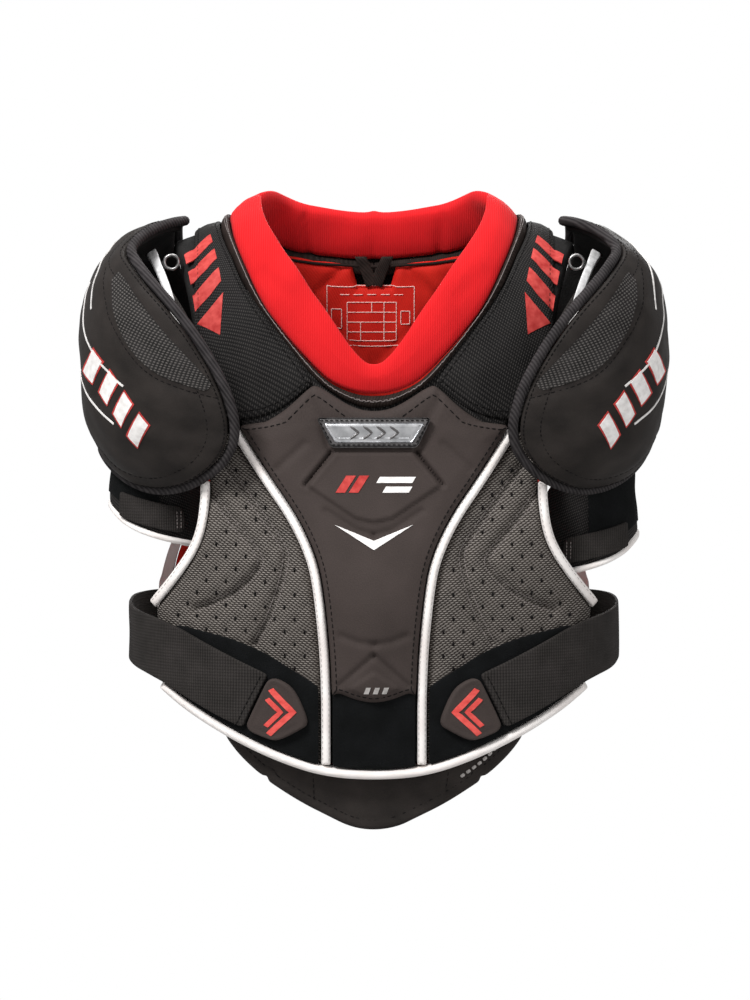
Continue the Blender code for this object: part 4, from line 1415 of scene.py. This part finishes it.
class SHOULDERPADS_OT_back(PadsOperator, bpy.types.Operator):
    """Pads the back: red quilted lining, cover, spine plates, shoulder-blade pads and rear band"""

    bl_idname = "shoulder_pads.back"
    bl_label = "Back"

    def make(self, sizes):
        quilt = []
        for line in (
            [(96, -18), (40, -78), (0, -118)],
            [(130, -60), (66, -130), (0, -196)],
            [(150, -130), (80, -200), (0, -280)],
            [(30, -24), (66, -58), (140, -128)],
            [(0, -196), (140, -330)],
            [(0, -280), (110, -390)],
        ):
            quilt += both(back(line))
        reliefs = [groove(line, 0.0026, 0.0030) for line in quilt]
        reliefs += [groove(line, 0.0012, 0.009) for line in quilt]
        outline = self.up_to_the_band(rim("back_liner", Body, LINER[1]))
        lining = Sheet(outline, Body, LINER[::-1], 0.003, summed(*reliefs), edge=0.5)
        lining.puff = 0.003
        piece = lining.build("back_lining", look("red_quilt_lining"), sizes.cell)
        dress(piece, "torso", "back_liner", slot="back_lining_fabric", fill=0.4)
        self.size_label(lining)
        for name, corners in (
            ("back_underlay", [(0, -104), (140, -98), (143, -150), (0, -140)]),
            ("neck_seam_underlay", [(0, -14), (30, -14), (30, -60), (0, -60)]),
        ):
            backing = Sheet(mirrored(back(corners)), Body, NECK_UNDERLAY, 0.0004)
            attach(backing.build(name, look("knit_mesh"), sizes.hidden_cell), "torso")

        for node_name, name, layer, cloth, cell in (
            ("back_foam", "back_inner_foam", FOAM, "pad_foam", sizes.hidden_cell),
            ("back_cover", "back_mesh_cover", COVER, "knit_mesh", sizes.cell * 1.4),
        ):
            cover = Sheet(rim(node_name, Body, layer[1]), Body, layer, 0.002, edge=0.5)
            piece = cover.build(name, look(cloth), cell)
            dress(piece, "torso", node_name, fill=0.8)
        for word in ("upper", "middle", "lower"):
            node_name = f"spine_plate_{word}"
            outline = rim(node_name, Body, OUTER_PAD[1], corner=0.008)
            inner = moved_in(densified(outline, 0.004), 0.011)
            relief = summed(groove(inner, 0.0022, 0.0026, True), worn(0.0004, 0.02))
            plate = Sheet(outline, Body, OUTER_PAD, 0.006, relief, edge=0.3)
            piece = plate.build(f"moulded_{node_name}", look("moulded_foam"), sizes.cell * 0.7)
            dress(piece, "torso", node_name, slot="moulded_chest_foam", fill=0.9)
            row = [moved_in(densified(outline, 0.003), 0.0038)]
            name = f"{node_name}_stitches"
            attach(plate.stitches(name, row, look("dark_thread"), sizes.stitch), "torso")
        for word, side in SIDES.items():
            node_name = f"blade_pad_{word}"
            outline = rim(node_name, Body, OUTER_PAD[1], side, corner=0.006)
            seams = [back([(66, -205), (104, -240), (136, -246)]), back([(70, -160), (106, -186)])]
            reliefs = [groove(line, 0.0030, 0.0034) for line in seams]
            relief = summed(worn(0.0006, 0.015, side), *reliefs)
            pad = Sheet(outline, Body, OUTER_PAD, 0.008, relief, side, edge=0.3)
            piece = pad.build(f"quilted_{node_name}", look("side_mesh"), sizes.cell)
            dress(piece, "torso", node_name, slot="side_mesh_fabric", fill=0.7)
            row = [moved_in(densified(outline, 0.003), 0.0045)]
            name = f"{node_name}_stitches"
            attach(pad.stitches(name, row, look("dark_thread"), sizes.stitch), "torso")
        outline = rim("rear_band", Body, REAR_BAND[1], corner=0.002)
        band = Sheet(outline, Body, REAR_BAND, 0.002, edge=0.75)
        piece = band.build("rear_elastic", look("woven_elastic"), sizes.cell * 1.2)
        dress(piece, "torso", "rear_band", slot="elastic_webbing", fill=0.9)

    @staticmethod
    def up_to_the_band(outline):
        """The lining's outline with its neck edge at the band, and a notch behind the hang loop."""
        foot = back([(0, -46)])[0][1]
        notch = [(0, -41), (15, -41), (20, -23), (54, -18), (86, -12), (96, -24)]
        outline = counter_clockwise(outline)
        kept = outline[~((outline[:, 1] < foot) & (np.abs(outline[:, 0]) < 0.0985))]
        first = int(np.argmax(np.linalg.norm(np.roll(kept, 1, 0) - kept, axis=1)))
        kept = np.roll(kept, -first, 0)
        neck = np.array(back([(-x, z) for x, z in notch[:0:-1]] + notch))
        if abs(neck[0][0] - kept[-1][0]) > abs(neck[-1][0] - kept[-1][0]):
            neck = neck[::-1]
        return np.concatenate([kept, densified(neck, 0.003, closed=False)])

    @staticmethod
    def size_label(lining):
        """A blank printed size table on the lining, inside the neck."""
        lines = []
        boxes = (
            (-42, 36, -100, -46),
            (-24, 20, -95, -60),
            (-38, -29, -84, -66),
            (24, 32, -80, -68),
        )
        for left, right, low, high in boxes:
            lines.append([(left, low), (right, low), (right, high), (left, high), (left, low)])
        lines += [[(-24, z), (20, z)] for z in (-69, -78, -87)]
        lines += [[(-2, -60), (-2, -69)], [(9, -60), (9, -95)], [(-12, -78), (-12, -95)]]
        lines += [[(left, -53), (left + 8, -53)] for left in (-30, -18, -6, 6, 18)]
        tails, heads = [], []
        for line in lines:
            path = back(densified(line, 4.0, closed=False), 0.0)
            tails.append(lining.on(path[:-1], 0.0003))
            heads.append(lining.on(path[1:], 0.0003))
        ends = np.concatenate(tails), np.concatenate(heads)
        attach(rods("size_label", *ends, 0.00045, look("label_print")), "torso")


class SHOULDERPADS_OT_shoulders(PadsOperator, bpy.types.Operator):
    """Covers the shoulders: the mesh yoke with its printed bars, the pads and the cap tabs"""

    bl_idname = "shoulder_pads.shoulders"
    bl_label = "Shoulders"

    def make(self, sizes):
        outline = rounded(whole(rim_of("shoulder_yoke_left", Body, YOKE[1])), corner=0.002)

        def swell(u, v, gap):
            return 0.0034 * ease(gap / 0.030) - 0.0010 * ease(1.0 - gap / 0.006)

        yoke = Sheet(outline, Body, YOKE, 0.003, summed(swell, worn(0.0009, 0.024)), edge=0.5)
        piece = yoke.build("mesh_yoke", look("knit_mesh"), sizes.cell)
        nodes = ("shoulder_yoke_left", "shoulder_yoke_right")
        dress(piece, "torso", *nodes, slot="body_fabric", fill=0.6)
        row = [moved_in(densified(yoke.outline, 0.003), 0.0032)]
        piece = yoke.stitches("mesh_yoke_stitches", row, look("dark_thread"), sizes.stitch)
        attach(piece, "torso")
        for word, side in SIDES.items():
            along = front([(151, -10), (134, -90)], 0.02)
            way = along[1] - along[0]
            length = np.hypot(*way)
            way /= length
            across = np.array((-way[1], way[0])) * 0.0125
            for k, (start, end) in enumerate(YOKE_BAR_SPANS):
                near, far = along[0] + way * length * start, along[0] + way * length * end
                slope = way * 0.008
                bar = [near - across - slope, near + across + slope]
                bar += [far + across + slope, far - across * 0.2, far - across - slope]
                if k == 3:
                    bar = [near - across - slope, near + across + slope, far - across * 0.4]
                printed = np.array(bar) * (side, 1.0)
                name = f"yoke_bar_{word}_{k}"
                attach(yoke.decal(name, printed, look("red_print"), sizes.cell), "torso")
            for node_name, name, layer, cloth in (
                (f"shoulder_pad_{word}", f"shoulder_inner_pad_{word}", FOAM, "pad_foam"),
            ):
                pad = Sheet(rim(node_name, Body, layer[1], side), Body, layer, 0.004, None, side)
                piece = pad.build(name, look(cloth), sizes.hidden_cell)
                dress(piece, "torso", node_name, slot="padding_foam", fill=0.9)
            tab = front([(168, -64), (177, -59), (195, -27), (187, -22), (181, -34)])
            satin = Sheet(tab, Body, (0.0195, 0.0225), 0.0012, None, side, edge=0.6)
            piece = satin.build(f"cap_tab_{word}", look("satin_tape"), 0.004)
            dress(piece, "torso", f"cap_link_{word}", slot="satin_tape")
            elastic = front([(149, -90), (157, -95), (180, -61), (171, -55)])
            web = Sheet(elastic, Body, (0.0185, 0.0212), 0.001, None, side, edge=0.6)
            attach(web.build(f"cap_elastic_{word}", look("woven_elastic"), 0.004), "torso")
            edge = strip(front([(157, -95), (180, -61)]), 0.0016)
            edging = web.decal(f"cap_elastic_edge_{word}", edge, look("white_print"), 0.004)
            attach(edging, "torso")
            low, high = (np.array(c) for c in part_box(f"cap_ring_{word}"))
            bpy.ops.object.select_all(action="DESELECT")
            bpy.ops.mesh.primitive_torus_add(
                location=(low + high) / 2.0,
                rotation=(math.pi / 2.0, 0.0, 0.0),
                major_radius=0.006,
                minor_radius=0.0014,
                major_segments=28,
                minor_segments=10,
            )
            ring = bpy.context.view_layer.objects.active
            ring.name = f"steel_ring_{word}"
            bpy.ops.object.transform_apply(location=True, rotation=True, scale=True)
            ring.data.shade_smooth()
            ring.data.materials.append(look("ring_steel"))
            dress(ring, "torso", f"cap_ring_{word}", slot="badge_metal")


class SHOULDERPADS_OT_caps(PadsOperator, bpy.types.Operator):
    """Covers the shoulder caps, with their ribbed panel, seams, prints and rolled binding"""

    bl_idname = "shoulder_pads.caps"
    bl_label = "Shoulder caps"

    def make(self, sizes):
        seam = soft_line(cap_front([(226, -30), (215, -86), (186, -121), (150, -134), (126, -140)]))
        for word, side in SIDES.items():
            body = f"cap_{word}"
            outline = rounded(rim_of(f"cap_shell_{word}", Cap, CAP_SHELL[1], side))
            lower = moved_in(densified(outline, 0.004), 0.0145)
            relief = summed(
                groove(seam, 0.0012, 0.0024),
                groove(lower, 0.0010, 0.0022, True),
                worn(0.0013, 0.026, side * 0.8),
                worn(0.0006, 0.011, side),
            )
            shell = Sheet(outline, Cap, CAP_SHELL, 0.006, relief, side, edge=0.5)
            piece = shell.build(f"cap_cover_{word}", look("cap_cloth"), sizes.cell)
            dress(piece, body, f"cap_shell_{word}", slot="cap_fabric", fill=0.8)
            liner = Sheet(
                rounded(rim_of(f"cap_liner_{word}", Cap, CAP_LINER[0], side)),
                Cap, CAP_LINER, 0.004, worn(0.0005, 0.02), side,
            )
            piece = liner.build(f"cap_padding_{word}", look("pad_foam"), sizes.cell * 1.6)
            dress(piece, body, f"cap_liner_{word}", slot="padding_foam", fill=0.8)
            ring = densified(outline, 0.004)
            ring = ring - inwards(ring) * 0.0052
            points = shell.world(*ring.T, -0.0036)
            roll = cord_along(f"cap_roll_{word}", points, 0.0043, look("rolled_binding"), True)
            dress(roll, body, f"cap_binding_{word}", slot="binding_tape", fill=1.0)
            rows = [moved_in(densified(outline, 0.003), 0.0022), lower, seam]
            name = f"cap_stitches_{word}"
            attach(shell.stitches(name, rows, look("dark_thread"), sizes.stitch), body)
            wedge = [(219, -40), (211, -86), (184, -117), (152, -129), (138, -133), (133, -127)]
            wedge += [(150, -107), (184, -71), (205, -43), (213, -34)]
            wedge = rounded(cap_front(wedge), corner=0.002)
            name = f"cap_rib_panel_{word}"
            panel = shell.decal(name, wedge, look("cap_rib_cloth"), sizes.cell, 0.0006, 0.0012)
            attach(panel, body)
            self.prints(shell, word, body, sizes)

    @staticmethod
    def prints(shell, word, body, sizes):
        """Thin white lines and a row of plain slanted bars."""
        lines = (
            [(221, -9), (233, -32), (238, -66)],
            [(244, -43), (247, -70), (237, -100), (209, -130)],
            [(252, -118), (246, -133), (218, -162)],
        )
        for k, line in enumerate(lines):
            outline = strip(soft_line(cap_front(line)), 0.0017)
            printed = shell.decal(f"cap_line_{word}_{k}", outline, look("white_print"), 0.004)
            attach(printed, body)
        start, end = np.array((242.0, -106.0)), np.array((195.0, -168.0))
        way = (end - start) / np.linalg.norm(end - start)
        up = np.array((way[1], -way[0])) * -1.0
        for k in range(4):
            middle = start + way * (10.0 + 22.0 * k)
            for grown, cloth, thick in ((1.3, "red_print", 0.0005), (0.0, "white_print", 0.0009)):
                wide, tall, lean = 6.2 + grown, 9.5 + grown, 4.5
                bar = [middle - way * wide - up * tall - way * lean]
                bar += [middle + way * wide - up * tall - way * lean]
                bar += [middle + way * wide + up * tall + way * lean]
                bar += [middle - way * wide + up * tall + way * lean]
                name = f"cap_bar_{word}_{k}_{cloth}"
                outline = cap_front(bar)
                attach(shell.decal(name, outline, look(cloth), 0.0035, thick), body)


class SHOULDERPADS_OT_arm_guards(PadsOperator, bpy.types.Operator):
    """Pads the arm guards, with their pile patches, white hems and straps"""

    bl_idname = "shoulder_pads.arm_guards"
    bl_label = "Arm guards"

    def make(self, sizes):
        for word, side in SIDES.items():
            body = f"arm_guard_{word}"
            lift = LEFT_ARM_DROP if side > 0.0 else 0.0
            outline = rim(f"arm_guard_shell_{word}", Arm, GUARD_SHELL[1], side, lift, 0.005)
            fold = arm([(96, -150), (95, -245)])
            relief = summed(groove(fold, 0.0026, 0.0026), worn(0.0010, 0.013, side))
            shell = Sheet(outline, Arm, GUARD_SHELL, 0.0045, relief, side, lift, edge=0.5)
            piece = shell.build(f"arm_guard_cover_{word}", look("knit_mesh"), sizes.cell)
            dress(piece, body, f"arm_guard_shell_{word}", slot="body_fabric", fill=0.7)
            inner = rim(f"arm_guard_liner_{word}", Arm, GUARD_LINER[0], side, lift)
            liner = Sheet(inner, Arm, GUARD_LINER, 0.003, None, side, lift)
            piece = liner.build(f"arm_guard_padding_{word}", look("pad_foam"), sizes.cell * 1.6)
            dress(piece, body, f"arm_guard_liner_{word}", slot="padding_foam", fill=0.7)
            patch = arm([(-18, -224), (20, -223), (60, -238), (91, -245), (92, -184)])
            patch = np.concatenate([patch, arm([(58, -180), (20, -178), (-18, -180)])])
            pile = shell.decal(
                f"arm_guard_pile_{word}",
                rounded(patch),
                look("loop_pile"),
                sizes.cell,
                0.0011,
                0.0012,
            )
            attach(pile, body)
            edge = shell.outline
            first = int(np.argmin(np.hypot(*(edge - arm([(-94, -250)])[0]).T)))
            last = int(np.argmin(np.hypot(*(edge - arm([(147, -268)])[0]).T)))
            edge = np.roll(edge, -first, 0)[: (last - first) % len(edge) + 1]
            hem = strip(densified(edge, 0.004, closed=False), 0.0055)
            tape = Sheet(hem, Arm, (0.0035, 0.0135), 0.0026, None, side, lift, edge=0.6)
            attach(tape.build(f"arm_guard_hem_{word}", look("white_piping"), sizes.cell), body)
            name = f"arm_strap_{word}"
            outline = rim(name, Arm, GUARD_STRAP[1], side, lift, 0.0015)
            strap = Sheet(outline, Arm, GUARD_STRAP, 0.001, None, side, lift, edge=0.7)
            piece = strap.build(f"arm_strap_web_{word}", look("woven_elastic"), sizes.cell)
            dress(piece, name, name, slot="elastic_webbing")
            ends = [arm([(109, -238), (109, -252)]), arm([(113, -238), (113, -252)])]
            rows = strap.stitches(
                f"arm_strap_stitches_{word}", ends, look("grey_thread"), 0.003, 0.002
            )
            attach(rows, name)


# The pull tabs' printed chevrons: a line in millimetres and its width
TAB_MARKS = (
    ([(84, -381), (66, -400), (86, -419)], 0.0040),
    ([(87, -389), (76, -400), (88, -412)], 0.0034),
)


class SHOULDERPADS_OT_side_straps(PadsOperator, bpy.types.Operator):
    """Weaves the side straps and moulds their pull tabs"""

    bl_idname = "shoulder_pads.side_straps"
    bl_label = "Side straps"

    def make(self, sizes):
        for word, side in SIDES.items():
            body = f"side_strap_{word}"
            outline = rim(body, Waist, STRAP[1], side, corner=0.002)
            strap = Sheet(outline, Waist, STRAP, 0.0012, worn(0.0005, 0.016, side), side, edge=0.7)
            piece = strap.build(f"side_strap_web_{word}", look("woven_elastic"), sizes.cell)
            dress(piece, body, body, slot="elastic_webbing")
            outline = rim(f"strap_tab_{word}", Waist, TAB[1], side, corner=0.004)
            inner = moved_in(densified(outline, 0.003), 0.0042)
            tab = Sheet(
                outline, Waist, TAB, 0.002, groove(inner, 0.0009, 0.0012, True), side, edge=0.5
            )
            piece = tab.build(f"strap_tab_grip_{word}", look("moulded_foam"), sizes.fine_cell)
            dress(piece, body, f"strap_tab_{word}", slot="moulded_chest_foam", fill=1.0)
            for k, (line, width) in enumerate(TAB_MARKS):
                bent = strip(densified(waist(line), 0.004, closed=False), width)
                printed = tab.decal(f"strap_tab_mark_{word}_{k}", bent, look("salmon_print"), 0.002)
                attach(printed, body)
            row = [waist([(93, -370), (114, -413)])]
            name = f"side_strap_stitches_{word}"
            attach(strap.stitches(name, row, look("dark_thread"), 0.0045), body)


class SHOULDERPADS_OT_stage(PadsOperator, bpy.types.Operator):
    """Sets the pale floor and backdrop, the soft studio lights and the camera"""

    bl_idname = "shoulder_pads.stage"
    bl_label = "Studio"

    def make(self, sizes):
        white = bpy.data.materials.new("matt_backdrop_paper")
        white.use_nodes = True
        paper = white.node_tree.nodes["Principled BSDF"]
        self.seen_white(white.node_tree, paper)
        paper.inputs["Base Color"].default_value = linear("#A8A8A8")
        paper.inputs["Roughness"].default_value = 0.9
        bpy.ops.object.select_all(action="DESELECT")
        floor_z = float(CAD_BOX[0][2]) - FLOOR_DROP
        bpy.ops.mesh.primitive_plane_add(size=FLOOR_SIZE, location=(0.0, 0.0, floor_z))
        floor = bpy.context.view_layer.objects.active
        floor.name = "floor"
        floor.data.materials.append(white)
        world = bpy.data.worlds.new("studio_air")
        world.use_nodes = True
        world.node_tree.nodes["Background"].inputs["Color"].default_value = (1.0, 1.0, 1.0, 1.0)
        world.node_tree.nodes["Background"].inputs["Strength"].default_value = 0.55
        self.seen_white(world.node_tree, world.node_tree.nodes["Background"])
        bpy.context.scene.world = world
        bpy.context.scene.view_settings.view_transform = "Standard"
        middle = Vector((0.0, 0.0, -0.23))
        for name, place, size, power in (
            ("key", (-1.0, -1.4, 1.4), 0.7, 52.0),
            ("fill", (1.5, -1.6, 0.3), 1.2, 8.0),
            ("top", (0.1, 0.1, 1.6), 1.0, 16.0),
            ("rear", (0.3, 2.2, 0.9), 1.4, 30.0),
        ):
            lamp = bpy.data.lights.new(name, "AREA")
            lamp.shape = "DISK"
            lamp.size, lamp.energy = size, power
            holder = bpy.data.objects.new(name, lamp)
            holder.location = place
            holder.rotation_euler = (middle - Vector(place)).to_track_quat("-Z", "Y").to_euler()
            bpy.context.scene.collection.objects.link(holder)
        camera = bpy.data.cameras.new("camera")
        holder = bpy.data.objects.new("camera", camera)
        bpy.context.scene.collection.objects.link(holder)
        distance = 2.6
        aim = Vector((0.0009, -0.10, -0.226))
        tilt = math.radians(4.0)
        place = aim + Vector((0.0, -math.cos(tilt), math.sin(tilt))) * distance
        holder.location = place
        holder.rotation_euler = (aim - place).to_track_quat("-Z", "Y").to_euler()
        camera.sensor_fit = "VERTICAL"
        camera.sensor_height = 36.0
        camera.lens = 36.0 * distance / 0.840
        bpy.context.scene.camera = holder

    @staticmethod
    def seen_white(tree, shaded):
        """Shows plain white to the camera itself, and the shaded surface to all other light."""
        out = next(each for each in tree.nodes if each.type.startswith("OUTPUT"))
        plain = node(tree, "ShaderNodeEmission", {"Strength": 1.0})
        direct = node(tree, "ShaderNodeLightPath").outputs["Is Camera Ray"]
        chosen = node(
            tree, "ShaderNodeMixShader", {0: direct, 1: shaded.outputs[0], 2: plain.outputs[0]}
        )
        tree.links.new(chosen.outputs[0], out.inputs["Surface"])


STEPS = (
    SHOULDERPADS_OT_looks,
    SHOULDERPADS_OT_collar,
    SHOULDERPADS_OT_chest,
    SHOULDERPADS_OT_side_pads,
    SHOULDERPADS_OT_piping,
    SHOULDERPADS_OT_loop_bands,
    SHOULDERPADS_OT_badge,
    SHOULDERPADS_OT_belly_flap,
    SHOULDERPADS_OT_back,
    SHOULDERPADS_OT_shoulders,
    SHOULDERPADS_OT_caps,
    SHOULDERPADS_OT_arm_guards,
    SHOULDERPADS_OT_side_straps,
    SHOULDERPADS_OT_stage,
)


class SHOULDERPADS_PT_panel(bpy.types.Panel):
    """Lists the sizes, the colours and the steps that make the shoulder pads."""

    bl_label = "Shoulder Pads"
    bl_idname = "SHOULDERPADS_PT_panel"
    bl_space_type = "VIEW_3D"
    bl_region_type = "UI"
    bl_category = "Shoulder Pads"

    def draw(self, context):
        sizes_shown = ("cell", "fine_cell", "hidden_cell", "stitch")
        for key in (*sizes_shown, "red", "black", "chest", "grey", "white"):
            self.layout.prop(context.scene.shoulder_pads, key)
        for step in STEPS:
            self.layout.operator(step.bl_idname)


CLASSES = (ShoulderPadsSettings, *STEPS, SHOULDERPADS_PT_panel)


def register():
    for each in CLASSES:
        bpy.utils.register_class(each)
    bpy.types.Scene.shoulder_pads = bpy.props.PointerProperty(type=ShoulderPadsSettings)


def unregister():
    del bpy.types.Scene.shoulder_pads
    for each in reversed(CLASSES):
        bpy.utils.unregister_class(each)


def main():
    register()
    for step in STEPS:
        group, name = step.bl_idname.split(".")
        getattr(getattr(bpy.ops, group), name)()


if __name__ == "__main__":
    main()
